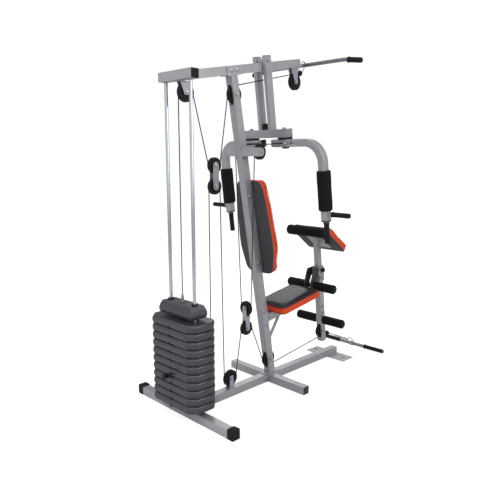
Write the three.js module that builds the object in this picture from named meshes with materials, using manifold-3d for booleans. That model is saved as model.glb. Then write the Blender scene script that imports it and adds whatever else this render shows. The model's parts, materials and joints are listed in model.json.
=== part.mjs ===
// A multi station home gym: lat pulldown, chest press and butterfly arms, leg developer,
// arm curl pad and low pulley, all working one weight stack through three steel cables.
//
// Millimetres, +Z up. The origin is on the floor under the middle stabilizer.
// +Y is the way that the seated user faces, and +X is that user's right-hand side.

import * as THREE from 'three';
import { mergeVertices } from 'three/addons/utils/BufferGeometryUtils.js';
import Module from 'manifold-3d';

const wasm = await Module();
wasm.setup();

// ---- driving dimensions ----

const TUBE = 50;                     // square frame tube
const WALL = 2.5;                    // wall of every square tube
const GAP = 0.3;                     // air left between two pieces that rest on each other

const STACK_Y = -708;                // plane of the rear stabilizer, the guide rods and the stack
const BASE_FRONT = 743;              // front end of the base
const REAR_HALF = 430;               // half length of the rear stabilizer
const MID_HALF = 331;                // half length of the middle stabilizer
const FOOT_HALF = 170;               // half width of the front foot plate
const FOOT_DEPTH = 118;
const FOOT_THICKNESS = 5;

const FRAME_LEAN = 10.2;             // the mast leans back and the top beam rises by this angle
const MAST_FOOT_Y = 28.6;            // where the mast's centre line meets the floor
const BEAM_CENTRE = 2002;            // up the mast to the top beam's centre line
const BEAM_FRONT = 596;              // forward of the mast to the top beam's end
const CROSSBAR_Z = 1904;             // centre of the rear crossbar
const CROSSBAR_HALF = 140;

const ROD_X = 106;                   // guide rods
const ROD_RADIUS = 10;

const WHEEL_RADIUS = 52;             // pulley wheels on the frame
const SMALL_WHEEL_RADIUS = 46;       // pulley wheels of the arms, the lever and the floating blocks
const WHEEL_WIDTH = 20;
const WHEEL_SIDES = 16;
const GROOVE = 8;                    // depth of a wheel's groove
const AXLE = 6;                      // radius of a wheel's axle
const CABLE_RADIUS = 3;
const CABLE_SEAT = 3.5;              // how far below the rim the cable's centre runs

const PLATE_COUNT = 11;
const LIFTED_PLATES = 7;             // plates above the selector pin
const PLATE_PITCH = 46.4;
const PLATE_HALF_WIDTH = 200;
const PLATE_HALF_DEPTH = 103;
const PLATE_CHAMFER = 46;
const PLATE_ROUND = { inset: 8, height: 15, steps: 3 };  // the rounded upper and lower rims
const STACK_BOTTOM = 76;
const NOTCH_HEIGHT = 16;
const SELECTOR_Z = 600;              // underside of the selector block
const SELECTOR_HEIGHT = 72;
const SELECTOR_HALF = 144;
const SELECTOR_DEPTH = 60;

const PRESS_LEAN = 7.5;              // the press frame hangs forward by this angle
const PRESS_PIVOT = { v: 268, w: 2037 };   // along the top beam and up the mast
const PRESS_DROP = 432;              // pivot to cross tube
const PRESS_HALF = 178;              // half length of the cross tube
const UPRIGHT_X = 40;
const UPRIGHT_WIDTH = 25;
const ARM_SIDE = 45;
const ARM_PIVOT_X = 140;
const ARM_DROP = 491;                // press pivot to the arm's upper run
const ARM_INNER_X = 44;
const ARM_OUTER_X = 417;
const ARM_BEND = 120;
const ARM_END = 951;                 // press pivot to the arm's lower end
const ARM_FOAM = { top: 655, bottom: 893, radius: 42 };
const HANDLE_RADIUS = 11;
const SIDE_HANDLE = { drop: 914, tip: 586 };
const LOWER_HANDLE_END = 1094;

const SEAT_TILT = 9.2;
const SEAT_ORIGIN = new THREE.Vector3(0, -24, 440);
const SEAT_FRAME_LENGTH = 460;
const SEAT = { rear: 38, front: 430, top: 71, half: 134, corner: 34 };

const POST_LEAN = 6.2;
const LEG_PIVOT = new THREE.Vector3(0, 532.6, 625);
const POST_SIDE = 38;
const POST_TOP = 310;                // leg pivot to the top of the curl post before it is trimmed
const LEVER_LENGTH = 488;
const ROLLER_RADIUS = 32;
const ROLLER_HALF = 204;
const ROLLER_START = 33;
const SHAFT_RADIUS = 12;
const KNEE_ROLLER = { y: 450, z: 577 };
const ANKLE_ROLLER_Z = -322;
const LEVER_WHEEL = { y: -12, z: -411 };

const CURL_SLOPE = 37;
const CURL_TOP = new THREE.Vector3(0, 438, 1011);  // rear edge of the curl pad's upper face
const CURL_PAD = { start: 8, end: 267, thickness: 46, half: 165 };
const CURL_ROLLER = { along: -18, depth: 62, radius: 30, half: 160 };

const LAT_BAR = { y: 318, z: 2068, bend: 330, tip: 452, drop: 18, radius: 12.5 };
const LOW_BAR = { y: 985, z: 14, half: 284, radius: 12.5 };

const steel = 0x9b9aa4;
const charcoal = 0x55545f;
const black = 0x1b1b1f;
const chrome = 0xc4c8d2;
const vinyl = 0x2c2b30;
const orange = 0xd9481f;

// ---- solids ----

function toSolid(geometry) {
  const plain = geometry.clone();
  plain.deleteAttribute('normal');
  plain.deleteAttribute('uv');
  const merged = mergeVertices(plain, 1e-4);
  return new wasm.Manifold(new wasm.Mesh({
    numProp: 3,
    vertProperties: new Float32Array(merged.attributes.position.array),
    triVerts: new Uint32Array(merged.index.array),
  }));
}

function toGeometry(solid) {
  const mesh = solid.getMesh();
  const geometry = new THREE.BufferGeometry();
  geometry.setAttribute('position', new THREE.BufferAttribute(mesh.vertProperties, 3));
  geometry.setIndex(new THREE.BufferAttribute(mesh.triVerts, 1));
  geometry.computeVertexNormals();
  return geometry;
}

function join(...geometries) {
  return toGeometry(geometries.map(toSolid).reduce((all, next) => all.add(next)));
}

function common(geometry, other) {
  return toGeometry(toSolid(geometry).intersect(toSolid(other)));
}

function cut(geometry, ...tools) {
  return toGeometry(tools.map(toSolid).reduce((left, tool) => left.subtract(tool), toSolid(geometry)));
}

// a box between two limits on each axis
function block(x, y, z) {
  const box = new THREE.BoxGeometry(x[1] - x[0], y[1] - y[0], z[1] - z[0]);
  return box.translate((x[0] + x[1]) / 2, (y[0] + y[1]) / 2, (z[0] + z[1]) / 2);
}

function both(centre, half) {
  return [centre - half, centre + half];
}

// turns a geometry made along +Z to lie along another axis
function along(axis, geometry) {
  if (axis === 'x') return geometry.rotateY(Math.PI / 2);
  if (axis === 'y') return geometry.rotateX(-Math.PI / 2);
  return geometry;
}

function squareShape(half, wall = 0) {
  const square = new THREE.Shape();
  square.moveTo(-half, -half);
  square.lineTo(half, -half);
  square.lineTo(half, half);
  square.lineTo(-half, half);
  square.closePath();
  if (wall) square.holes.push(squareShape(half - wall));
  return square;
}

// an open square tube along one axis, from one place to another on it
function squareTube(axis, from, to, side = TUBE) {
  const shape = squareShape(side / 2, WALL);
  const tube = new THREE.ExtrudeGeometry(shape, { depth: to - from, bevelEnabled: false });
  return along(axis, tube.translate(0, 0, from));
}

function cylinder(axis, radius, from, to, sides = 12) {
  const round = new THREE.CylinderGeometry(radius, radius, to - from, sides);
  round.rotateX(Math.PI / 2).translate(0, 0, (from + to) / 2);
  return along(axis, round);
}

// a flat plate with its outline in Y and Z, between two places on X
function platePieceYZ(outline, from, to) {
  const shape = new THREE.Shape(outline.map(([y, z]) => new THREE.Vector2(y, z)));
  const plate = new THREE.ExtrudeGeometry(shape, { depth: to - from, bevelEnabled: false });
  return plate.rotateY(Math.PI / 2).rotateX(Math.PI / 2).translate(from, 0, 0);
}

// a curve through given corners, which an extrusion follows with one step for each stretch
class Route extends THREE.Curve {
  constructor(corners) {
    super();
    this.corners = corners;
  }

  getPointAt(u, target = new THREE.Vector3()) {
    return target.copy(this.corners[Math.round(u * (this.corners.length - 1))]);
  }

  getTangentAt(u, target = new THREE.Vector3()) {
    const at = Math.round(u * (this.corners.length - 1));
    target.set(0, 0, 0);
    if (at > 0) target.add(direction(this.corners[at - 1], this.corners[at]));
    if (at < this.corners.length - 1) target.add(direction(this.corners[at], this.corners[at + 1]));
    return target.normalize();
  }
}

function direction(from, to) {
  return to.clone().sub(from).normalize();
}

function sweep(shape, corners) {
  const path = new Route(corners);
  return new THREE.ExtrudeGeometry(shape, { steps: corners.length - 1, extrudePath: path, bevelEnabled: false });
}

function roundShape(radius, sides) {
  const corners = [];
  for (let i = 0; i < sides; i += 1) {
    const angle = (i / sides) * 2 * Math.PI;
    corners.push(new THREE.Vector2(radius * Math.cos(angle), radius * Math.sin(angle)));
  }
  return new THREE.Shape(corners);
}

function roundBar(radius, corners, sides = 8) {
  return sweep(roundShape(radius, sides), corners);
}

// the outline of a rectangle with round corners
function roundedRectangle(halfWidth, halfDepth, corner, steps = 4) {
  const outline = [];
  const centres = [[1, 1], [-1, 1], [-1, -1], [1, -1]];
  centres.forEach(([sx, sy], quarter) => {
    for (let i = 0; i <= steps; i += 1) {
      const angle = (quarter + i / steps) * Math.PI / 2;
      const x = sx * (halfWidth - corner) + corner * Math.cos(angle);
      const y = sy * (halfDepth - corner) + corner * Math.sin(angle);
      outline.push(new THREE.Vector2(x, y));
    }
  });
  return new THREE.Shape(outline);
}

function material(color, roughness = 0.45, metalness = 0.2) {
  return new THREE.MeshStandardMaterial({ color, roughness, metalness });
}

function named(name, geometry, look) {
  const mesh = new THREE.Mesh(geometry, look);
  mesh.name = name;
  return mesh;
}

function placed(object, x = 0, y = 0, z = 0, turn = 0) {
  object.position.set(x, y, z);
  object.rotation.x = THREE.MathUtils.degToRad(turn);
  return object;
}

// ---- places shared by several pieces ----

const leanCos = Math.cos(THREE.MathUtils.degToRad(FRAME_LEAN));
const leanSin = Math.sin(THREE.MathUtils.degToRad(FRAME_LEAN));

// a place v forward of the mast and w up it, in the object's own Y and Z
function onFrame(v, w) {
  return { y: MAST_FOOT_Y + v * leanCos - w * leanSin, z: v * leanSin + w * leanCos };
}

// the same the other way round
function fromFrame(y, z) {
  const dy = y - MAST_FOOT_Y;
  return { v: dy * leanCos + z * leanSin, w: z * leanCos - dy * leanSin };
}

const MAST_TOP_WHEEL = { v: 0, w: 1867 };
const MAST_BOTTOM_WHEEL = { v: 0, w: 153 };
const LAT_WHEEL = { v: 550, w: 1890 };
const REAR_WHEEL = { y: STACK_Y + WHEEL_RADIUS - CABLE_SEAT, z: 1822 };
const BASE_WHEEL = { y: -347, z: 114 };
const ARM_WHEEL = { x: 82, y: -172, z: 1510 };
const UPPER_BLOCK = { y: -460, top: 1433, bottom: 1312 };
const LOWER_BLOCK = { y: -204, top: 537, bottom: 408 };
const CABLE_ANCHOR_Y = -500;
const FRAME_CABLE_RADIUS = WHEEL_RADIUS - CABLE_SEAT;
const SMALL_CABLE_RADIUS = SMALL_WHEEL_RADIUS - CABLE_SEAT;

// ---- base ----

function rearSpine() {
  const tube = squareTube('y', STACK_Y + TUBE / 2 + GAP, -TUBE / 2 - GAP).translate(0, 0, TUBE / 2);
  const cheekTop = BASE_WHEEL.z + 18;
  const cheek = [[BASE_WHEEL.y - 19, TUBE - 1], [BASE_WHEEL.y + 19, TUBE - 1],
    [BASE_WHEEL.y + 14, cheekTop], [BASE_WHEEL.y - 14, cheekTop]];
  const axle = cylinder('x', AXLE, -17, 17).translate(0, BASE_WHEEL.y, BASE_WHEEL.z);
  const anchor = block(both(0, 8), both(CABLE_ANCHOR_Y, 11), [TUBE - 1, TUBE + 30]);
  const foot = block(both(0, 22), both(BASE_WHEEL.y, 24), [TUBE - 1, TUBE + 4]);
  return join(tube, platePieceYZ(cheek, 12, 16), platePieceYZ(cheek, -16, -12), axle, foot, anchor);
}

function frontSpine() {
  const tube = squareTube('y', TUBE / 2 + GAP, BASE_FRONT).translate(0, 0, TUBE / 2);
  const plate = block(both(0, FOOT_HALF), [BASE_FRONT - FOOT_DEPTH, BASE_FRONT + 6], [0, FOOT_THICKNESS]);
  return join(tube, plate);
}

function stabilizer(half) {
  return squareTube('x', -half, half).translate(0, 0, TUBE / 2);
}

// ---- mast, top beam and rear crossbar ----

// the wide pulley bracket on one side of the mast, made in the object's own frame
function armPulleyBracket(side) {
  const { x, y, z } = ARM_WHEEL;
  const rear = y - 96;
  const reach = (inner, outer) => (side > 0 ? [inner, outer] : [-outer, -inner]);
  const parts = [
    block(reach(23.5, 29), [rear, rear + 48], both(z - 4, 28)),
    block(reach(25, x + 16), [rear, rear + 4], both(z, 26)),
  ];
  for (const inner of [x - 16, x + 12]) {
    const limits = reach(inner, inner + 4);
    parts.push(block(limits, [rear + 1, y], both(z, 26)));
    parts.push(cylinder('x', 26, limits[0], limits[1], 16).translate(0, y, z));
  }
  const axle = reach(x - 15, x + 15);
  parts.push(cylinder('x', AXLE, axle[0], axle[1]).translate(0, y, z));
  return join(...parts);
}

function mast() {
  const saddleTop = BEAM_CENTRE - TUBE / 2 - GAP;
  const tube = squareTube('z', 40, saddleTop - 3);
  const slots = [MAST_TOP_WHEEL, MAST_BOTTOM_WHEEL].map(({ w }) => (
    block(both(0, 12.5), both(0, 40), both(w, WHEEL_RADIUS + 5))));
  const floorCut = block(both(0, 60), both(0, 120), [-90, 0]);
  floorCut.rotateX(-THREE.MathUtils.degToRad(FRAME_LEAN));
  const foot = fromFrame(MAST_FOOT_Y, TUBE + GAP);
  floorCut.translate(0, foot.v, foot.w);
  const shaft = cut(tube, floorCut, ...slots);
  const axles = [MAST_TOP_WHEEL, MAST_BOTTOM_WHEEL].map(({ w }) => (
    cylinder('x', AXLE, -28, 28).translate(0, 0, w)));
  const saddle = block(both(0, 30), both(0, 56), [saddleTop - 4, saddleTop]);
  const cheeks = [block([25 + GAP, 30], both(0, 56), [saddleTop - 2, saddleTop + 46]),
    block([-30, -25 - GAP], both(0, 56), [saddleTop - 2, saddleTop + 46])];
  const brackets = [-1, 1].map((side) => {
    const bracket = armPulleyBracket(side).translate(0, -MAST_FOOT_Y, 0);
    return bracket.rotateX(-THREE.MathUtils.degToRad(FRAME_LEAN));
  });
  const sole = block(both(0, 25), [-74, 66], [0, 4]).rotateX(-THREE.MathUtils.degToRad(FRAME_LEAN));
  sole.translate(0, foot.v, foot.w);
  return join(shaft, saddle, sole, ...cheeks, ...axles, ...brackets);
}

function topBeam() {
  const beam = squareTube('y', -400, BEAM_FRONT).translate(0, 0, BEAM_CENTRE);
  const rearCut = block(both(0, 60), [-200, 0], both(0, 200));
  rearCut.rotateX(-THREE.MathUtils.degToRad(FRAME_LEAN));
  const meet = fromFrame(STACK_Y + TUBE / 2 + GAP, CROSSBAR_Z);
  rearCut.translate(0, meet.v, meet.w);
  const sleeve = cylinder('x', 14, -26, 26, 16).translate(0, PRESS_PIVOT.v, PRESS_PIVOT.w);
  const bore = cylinder('x', 8.8, -30, 30).translate(0, PRESS_PIVOT.v, PRESS_PIVOT.w);
  const underside = BEAM_CENTRE - TUBE / 2;
  const cheek = [[LAT_WHEEL.v - 30, underside + 1], [LAT_WHEEL.v - 12, LAT_WHEEL.w - 14],
    [LAT_WHEEL.v + 12, LAT_WHEEL.w - 14], [LAT_WHEEL.v + 30, underside + 1]];
  const axle = cylinder('x', AXLE, -17, 17).translate(0, LAT_WHEEL.v, LAT_WHEEL.w);
  const body = join(cut(beam, rearCut), sleeve);
  return join(cut(body, bore), platePieceYZ(cheek, 12, 16), platePieceYZ(cheek, -16, -12), axle);
}

function rearCrossbar() {
  const tube = squareTube('x', -CROSSBAR_HALF, CROSSBAR_HALF).translate(0, STACK_Y, CROSSBAR_Z);
  const underside = CROSSBAR_Z - TUBE / 2;
  const { y, z } = REAR_WHEEL;
  const shelf = block(both(0, 24), [y - 48, y + 24], [underside - 4, underside + 0.5]);
  const cheek = [[y - 46, underside - 1], [y - 16, z - 14], [y + 14, z - 14], [y + 22, underside - 1]];
  const axle = cylinder('x', AXLE, -17, 17).translate(0, y, z);
  return join(tube, shelf, platePieceYZ(cheek, 12, 16), platePieceYZ(cheek, -16, -12), axle);
}

function guideRod() {
  return cylinder('z', ROD_RADIUS, TUBE + GAP, CROSSBAR_Z - TUBE / 2 - GAP, 16);
}

// ---- pulley wheels ----

function wheel(radius) {
  const half = WHEEL_WIDTH / 2;
  const bore = AXLE + 1;
  const profile = [[bore, -half], [radius, -half], [radius, -half + 3], [radius - GROOVE, -4.5],
    [radius - GROOVE, 4.5], [radius, half - 3], [radius, half], [bore, half], [bore, -half]];
  const points = profile.map(([r, x]) => new THREE.Vector2(r, x));
  return new THREE.LatheGeometry(points, WHEEL_SIDES);
}

// a wheel whose axle lies along X, or along Y for the one under the arm cables
function wheelAt(name, radius, x, y, z, axis = 'x') {
  const geometry = wheel(radius);
  if (axis === 'x') geometry.rotateZ(Math.PI / 2);
  return placed(named(name, geometry, material(black, 0.5, 0)), x, y, z);
}

// ---- floating pulley blocks ----

function strapOutline(low, high, radius) {
  const outline = [];
  for (let i = 0; i <= 6; i += 1) {
    const angle = Math.PI + (i / 6) * Math.PI;
    outline.push([radius * Math.cos(angle), low + radius * Math.sin(angle)]);
  }
  for (let i = 0; i <= 6; i += 1) {
    const angle = (i / 6) * Math.PI;
    outline.push([radius * Math.cos(angle), high + radius * Math.sin(angle)]);
  }
  return outline;
}

function upperBlock() {
  const drop = UPPER_BLOCK.bottom - UPPER_BLOCK.top;
  const strap = strapOutline(drop, 0, 21);
  return join(
    platePieceYZ(strap, 12, 16),
    platePieceYZ(strap, -16, -12),
    cylinder('x', AXLE, -18, 18),
    cylinder('x', AXLE, -18, 18).translate(0, 0, drop),
  );
}

// two yokes set at right angles, back to back
function lowerBlock() {
  const drop = LOWER_BLOCK.bottom - LOWER_BLOCK.top;
  const middle = drop / 2;
  const lower = strapOutline(drop, middle - 4, 18);
  const upper = strapOutline(middle + 4, 0, 18);
  const parts = [block(both(0, 16), both(0, 16), both(middle, 4.5))];
  for (const [from, to] of [[12, 16], [-16, -12]]) {
    parts.push(platePieceYZ(lower, from, to));
    parts.push(platePieceYZ(upper, from, to).rotateZ(Math.PI / 2));
  }
  parts.push(cylinder('y', AXLE, -18, 18));
  parts.push(cylinder('x', AXLE, -18, 18).translate(0, 0, drop));
  return join(...parts);
}

// ---- cables ----

// the route of a taut cable in one plane: straight runs between wheels and short steps round them.
// Each stop is {a, b, r, turn}: turn is 1 anticlockwise or -1 clockwise, and r is 0 at an end.
function tautRoute(stops) {
  const headings = [];
  for (let i = 0; i < stops.length - 1; i += 1) {
    const here = stops[i];
    const next = stops[i + 1];
    const da = next.a - here.a;
    const db = next.b - here.b;
    const offset = next.r * next.turn - here.r * here.turn;
    headings.push(Math.atan2(db, da) - Math.asin(offset / Math.hypot(da, db)));
  }
  const route = [[stops[0].a, stops[0].b]];
  for (let i = 1; i < stops.length - 1; i += 1) {
    const { a, b, r, turn } = stops[i];
    const full = 2 * Math.PI;
    const wrap = ((turn * (headings[i] - headings[i - 1])) % full + full) % full;
    const steps = Math.max(1, Math.ceil(wrap / THREE.MathUtils.degToRad(22)));
    for (let step = 0; step <= steps; step += 1) {
      const heading = headings[i - 1] + turn * wrap * (step / steps);
      route.push([a + turn * r * Math.sin(heading), b - turn * r * Math.cos(heading)]);
    }
  }
  const last = stops[stops.length - 1];
  route.push([last.a, last.b]);
  return route;
}

function stop(at, r, turn) {
  return { a: at.y, b: at.z, r, turn };
}

function inPlane(route) {
  return route.map(([y, z]) => new THREE.Vector3(0, y, z));
}

const STACK_EYE_Z = SELECTOR_Z + SELECTOR_HEIGHT + 46;
const LAT_STOPPER = { y: 276, z: 2012 };
const LOW_STOPPER = { y: 640, z: 176 };

function latCable() {
  const top = onFrame(MAST_TOP_WHEEL.v, MAST_TOP_WHEEL.w);
  const lat = onFrame(LAT_WHEEL.v, LAT_WHEEL.w);
  return roundBar(CABLE_RADIUS, inPlane(tautRoute([
    stop({ y: STACK_Y, z: STACK_EYE_Z }, 0, 0),
    stop(REAR_WHEEL, FRAME_CABLE_RADIUS, -1),
    stop({ y: UPPER_BLOCK.y, z: UPPER_BLOCK.top }, SMALL_CABLE_RADIUS, 1),
    stop(top, FRAME_CABLE_RADIUS, -1),
    stop(lat, FRAME_CABLE_RADIUS, -1),
    stop(LAT_STOPPER, 0, 0),
  ])));
}

function leverWheelPlace() {
  const turn = THREE.MathUtils.degToRad(POST_LEAN);
  const place = new THREE.Vector3(0, LEVER_WHEEL.y, LEVER_WHEEL.z);
  return place.applyAxisAngle(new THREE.Vector3(1, 0, 0), turn).add(LEG_PIVOT);
}

function lowCable() {
  return roundBar(CABLE_RADIUS, inPlane(tautRoute([
    stop({ y: CABLE_ANCHOR_Y, z: TUBE + 30 + GAP }, 0, 0),
    stop({ y: UPPER_BLOCK.y, z: UPPER_BLOCK.bottom }, SMALL_CABLE_RADIUS, -1),
    stop(BASE_WHEEL, FRAME_CABLE_RADIUS, 1),
    stop({ y: LOWER_BLOCK.y, z: LOWER_BLOCK.bottom }, SMALL_CABLE_RADIUS, -1),
    stop(onFrame(MAST_BOTTOM_WHEEL.v, MAST_BOTTOM_WHEEL.w), FRAME_CABLE_RADIUS, 1),
    stop(leverWheelPlace(), SMALL_CABLE_RADIUS, 1),
    stop(LOW_STOPPER, 0, 0),
  ])));
}

// half of the arm cable: from an arm over its pulley and down beside the lower block
function armCableHalf(side) {
  const start = pressPlace(side * (ARM_PIVOT_X + 34), -ARM_SIDE / 2 - 9, -ARM_DROP);
  const flat = tautRoute([
    stop(start, 0, 0),
    stop(ARM_WHEEL, SMALL_CABLE_RADIUS, 1),
    stop({ y: LOWER_BLOCK.y, z: LOWER_BLOCK.top + 6 }, 0, 0),
  ]);
  const corners = flat.slice(1, -1).map(([y, z]) => new THREE.Vector3(side * ARM_WHEEL.x, y, z));
  const towards = direction(corners[0], start.clone().setX(corners[0].x));
  const leaving = corners[0].clone().addScaledVector(towards, 26);
  return [start, leaving, ...corners];
}

function armCable() {
  const right = armCableHalf(1);
  const left = armCableHalf(-1).reverse();
  const under = [];
  for (let i = 0; i <= 8; i += 1) {
    const angle = -(i / 8) * Math.PI;
    const x = SMALL_CABLE_RADIUS * Math.cos(angle);
    const z = LOWER_BLOCK.top + SMALL_CABLE_RADIUS * Math.sin(angle);
    under.push(new THREE.Vector3(x, LOWER_BLOCK.y, z));
  }
  return roundBar(CABLE_RADIUS, [...right, ...under, ...left]);
}

// ---- weight stack ----

function plateBottom(number) {
  return STACK_BOTTOM + PLATE_PITCH * (PLATE_COUNT - number);
}

function weightPlate() {
  const { inset, height, steps } = PLATE_ROUND;
  const rims = { bevelSize: inset, bevelThickness: height, bevelOffset: -inset, bevelSegments: steps };
  const w = PLATE_HALF_WIDTH;
  const d = PLATE_HALF_DEPTH;
  const c = PLATE_CHAMFER;
  const outline = [[w, c - d], [w, d - c], [w - c, d], [c - w, d], [-w, d - c], [-w, c - d],
    [c - w, -d], [w - c, -d]];
  const shape = new THREE.Shape(outline.map(([x, y]) => new THREE.Vector2(x, y)));
  const depth = PLATE_PITCH - GAP - 2 * height;
  const body = new THREE.ExtrudeGeometry(shape, { depth, ...rims });
  body.translate(0, 0, height);
  const holes = [-ROD_X, 0, ROD_X].map((x) => (
    cylinder('z', x ? ROD_RADIUS + 2.5 : 15, -5, PLATE_PITCH + 5, 10).translate(x, 0, 0)));
  const notch = block(both(0, 7), [-d - 5, 0], [-5, NOTCH_HEIGHT]);
  return cut(body, ...holes, notch);
}

// the pin's height in the notch of a given plate
function pinHeight(number) {
  return plateBottom(number) + NOTCH_HEIGHT / 2;
}

function selectorBlock() {
  const swell = [[-9, 0], [-3, 8], [0, 20], [-1, 34], [-5, 50], [-15, SELECTOR_HEIGHT]];
  const barrel = (half) => [
    ...swell.map(([out, z]) => [half + out, z]),
    ...swell.map(([out, z]) => [-half - out, z]).reverse(),
  ];
  const lengthways = platePieceYZ(barrel(SELECTOR_DEPTH), -SELECTOR_HALF - 5, SELECTOR_HALF + 5);
  const across = platePieceYZ(barrel(SELECTOR_HALF), -SELECTOR_DEPTH - 5, SELECTOR_DEPTH + 5);
  const body = common(lengthways, across.rotateZ(Math.PI / 2));
  const holes = [-ROD_X, ROD_X].map((x) => (
    cylinder('z', ROD_RADIUS + 2.5, -5, SELECTOR_HEIGHT + 5, 10).translate(x, 0, 0)));
  const low = STACK_BOTTOM + 4 - SELECTOR_Z;
  const stem = cylinder('z', 12, low, 5);
  const pinHoles = [];
  for (let number = 1; number <= PLATE_COUNT; number += 1) {
    pinHoles.push(cylinder('y', 5.6, -20, 20, 8).translate(0, 0, pinHeight(number) - SELECTOR_Z));
  }
  const eyeBolt = cylinder('z', 7, SELECTOR_HEIGHT - 2, STACK_EYE_Z - SELECTOR_Z - GAP, 10);
  return join(cut(body, ...holes), cut(stem, ...pinHoles), eyeBolt);
}

function selectorPin() {
  const rear = -PLATE_HALF_DEPTH;
  const handle = cylinder('y', 16, rear - 42, rear - 8, 14);
  return join(cylinder('y', 4.5, rear - 9, 13, 8), handle);
}

// ---- press frame and butterfly arms ----

const pressPivot = onFrame(PRESS_PIVOT.v, PRESS_PIVOT.w);

// a place in the hanging press frame, in the object's own frame
function pressPlace(x, y, z) {
  const turn = THREE.MathUtils.degToRad(PRESS_LEAN);
  const place = new THREE.Vector3(x, y, z).applyAxisAngle(new THREE.Vector3(1, 0, 0), turn);
  return place.add(new THREE.Vector3(0, pressPivot.y, pressPivot.z));
}

function pressFrame() {
  const half = UPRIGHT_WIDTH / 2;
  const low = -PRESS_DROP + TUBE / 2 - 1;
  const parts = [];
  for (const x of [-UPRIGHT_X, UPRIGHT_X]) {
    const outer = block(both(x, half), both(0, TUBE / 2), [low, 24]);
    const inner = block(both(x, half - WALL), both(0, TUBE / 2 - WALL), [low + 8, 30]);
    parts.push(cut(outer, inner));
    const head = x > 0 ? [x + half - 1, x + half + 5] : [x - half - 5, x - half + 1];
    parts.push(cylinder('x', 13, head[0], head[1]));
  }
  parts.push(cylinder('x', 8, -UPRIGHT_X - half, UPRIGHT_X + half));
  parts.push(squareTube('x', -PRESS_HALF, PRESS_HALF).translate(0, 0, -PRESS_DROP));
  for (const x of [-ARM_PIVOT_X, ARM_PIVOT_X]) {
    const bolt = cylinder('z', 8, -ARM_DROP - 34, -PRESS_DROP + 31).translate(x, 0, 0);
    const nut = cylinder('z', 13, -ARM_DROP - 33, -ARM_DROP - 25).translate(x, 0, 0);
    parts.push(bolt, nut);
  }
  return join(...parts);
}

function butterflyArm(side) {
  const corners = [new THREE.Vector3(side * ARM_INNER_X, 0, -ARM_DROP)];
  for (let i = 0; i <= 6; i += 1) {
    const angle = (i / 6) * (Math.PI / 2);
    const x = ARM_OUTER_X - ARM_BEND + ARM_BEND * Math.sin(angle);
    const z = -ARM_DROP - ARM_BEND + ARM_BEND * Math.cos(angle);
    corners.push(new THREE.Vector3(side * x, 0, z));
  }
  corners.push(new THREE.Vector3(side * ARM_OUTER_X, 0, -ARM_END));
  const tube = sweep(squareShape(ARM_SIDE / 2, WALL), corners);
  const bore = cylinder('z', 9, -ARM_DROP - 40, -ARM_DROP + 40).translate(side * ARM_PIVOT_X, 0, 0);
  const inner = ARM_OUTER_X + ARM_SIDE / 2 - 1;
  const reach = side > 0 ? [inner, SIDE_HANDLE.tip] : [-SIDE_HANDLE.tip, -inner];
  const sideHandle = cylinder('x', HANDLE_RADIUS, reach[0], reach[1], 10).translate(0, 0, -SIDE_HANDLE.drop);
  const plug = block(both(0, ARM_SIDE / 2 - 1), both(0, ARM_SIDE / 2 - 1), [-ARM_END - 3, -ARM_END + 8]);
  plug.translate(side * ARM_OUTER_X, 0, 0);
  const handle = cylinder('z', HANDLE_RADIUS, -LOWER_HANDLE_END, -ARM_END + 4, 10);
  handle.translate(side * ARM_OUTER_X, 0, 0);
  const anchor = block(both(side * (ARM_PIVOT_X + 34), 11), [-ARM_SIDE / 2 - 6, -ARM_SIDE / 2 + 1],
    both(-ARM_DROP, 12));
  anchor.translate(0, GAP, 0);
  return join(cut(tube, bore), sideHandle, plug, handle, anchor);
}

function armFoam() {
  const { top, bottom, radius } = ARM_FOAM;
  const foam = cylinder('z', radius, -bottom, -top, 18);
  const core = ARM_SIDE / 2 + GAP;
  return cut(foam, block(both(0, core), both(0, core), [-bottom - 5, -top + 5]));
}

// ---- seat, backrest and their supports ----

function seatFrame() {
  const tube = squareTube('y', 1.2, SEAT_FRAME_LENGTH);
  const brace = [new THREE.Vector3(0, 133, -TUBE / 2 + 1), new THREE.Vector3(0, 12, -152)];
  const strut = sweep(squareShape(7), brace);
  const shoe = block(both(0, 16), [2, 14], [-176, -140]);
  return join(tube, strut, shoe);
}

function seatPad() {
  const { rear, front, top, half, corner } = SEAT;
  const outline = roundedRectangle(half, (front - rear) / 2, corner);
  const depth = top - TUBE / 2 - GAP - 12;
  const bevel = { bevelSize: 6, bevelThickness: 6, bevelOffset: -6, bevelSegments: 1 };
  const pad = new THREE.ExtrudeGeometry(outline, { depth, ...bevel });
  return pad.translate(0, (rear + front) / 2, TUBE / 2 + GAP + 6);
}

// a backrest that is narrow at the top, widest low down and tapered again to its foot
function backrestPad() {
  const outline = [[92, 0], [118, 26], [147, 165], [147, 235], [128, 470], [112, 575], [92, 600], [60, 610]];
  const mirrored = outline.map(([x, z]) => [-x, z]).reverse();
  const shape = new THREE.Shape([...outline, ...mirrored].map(([x, z]) => new THREE.Vector2(x, z)));
  const bevel = { bevelSize: 6, bevelThickness: 6, bevelOffset: -6, bevelSegments: 1 };
  const pad = new THREE.ExtrudeGeometry(shape, { depth: 34, ...bevel });
  return pad.rotateX(Math.PI / 2).translate(0, 40, 0);
}

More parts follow.
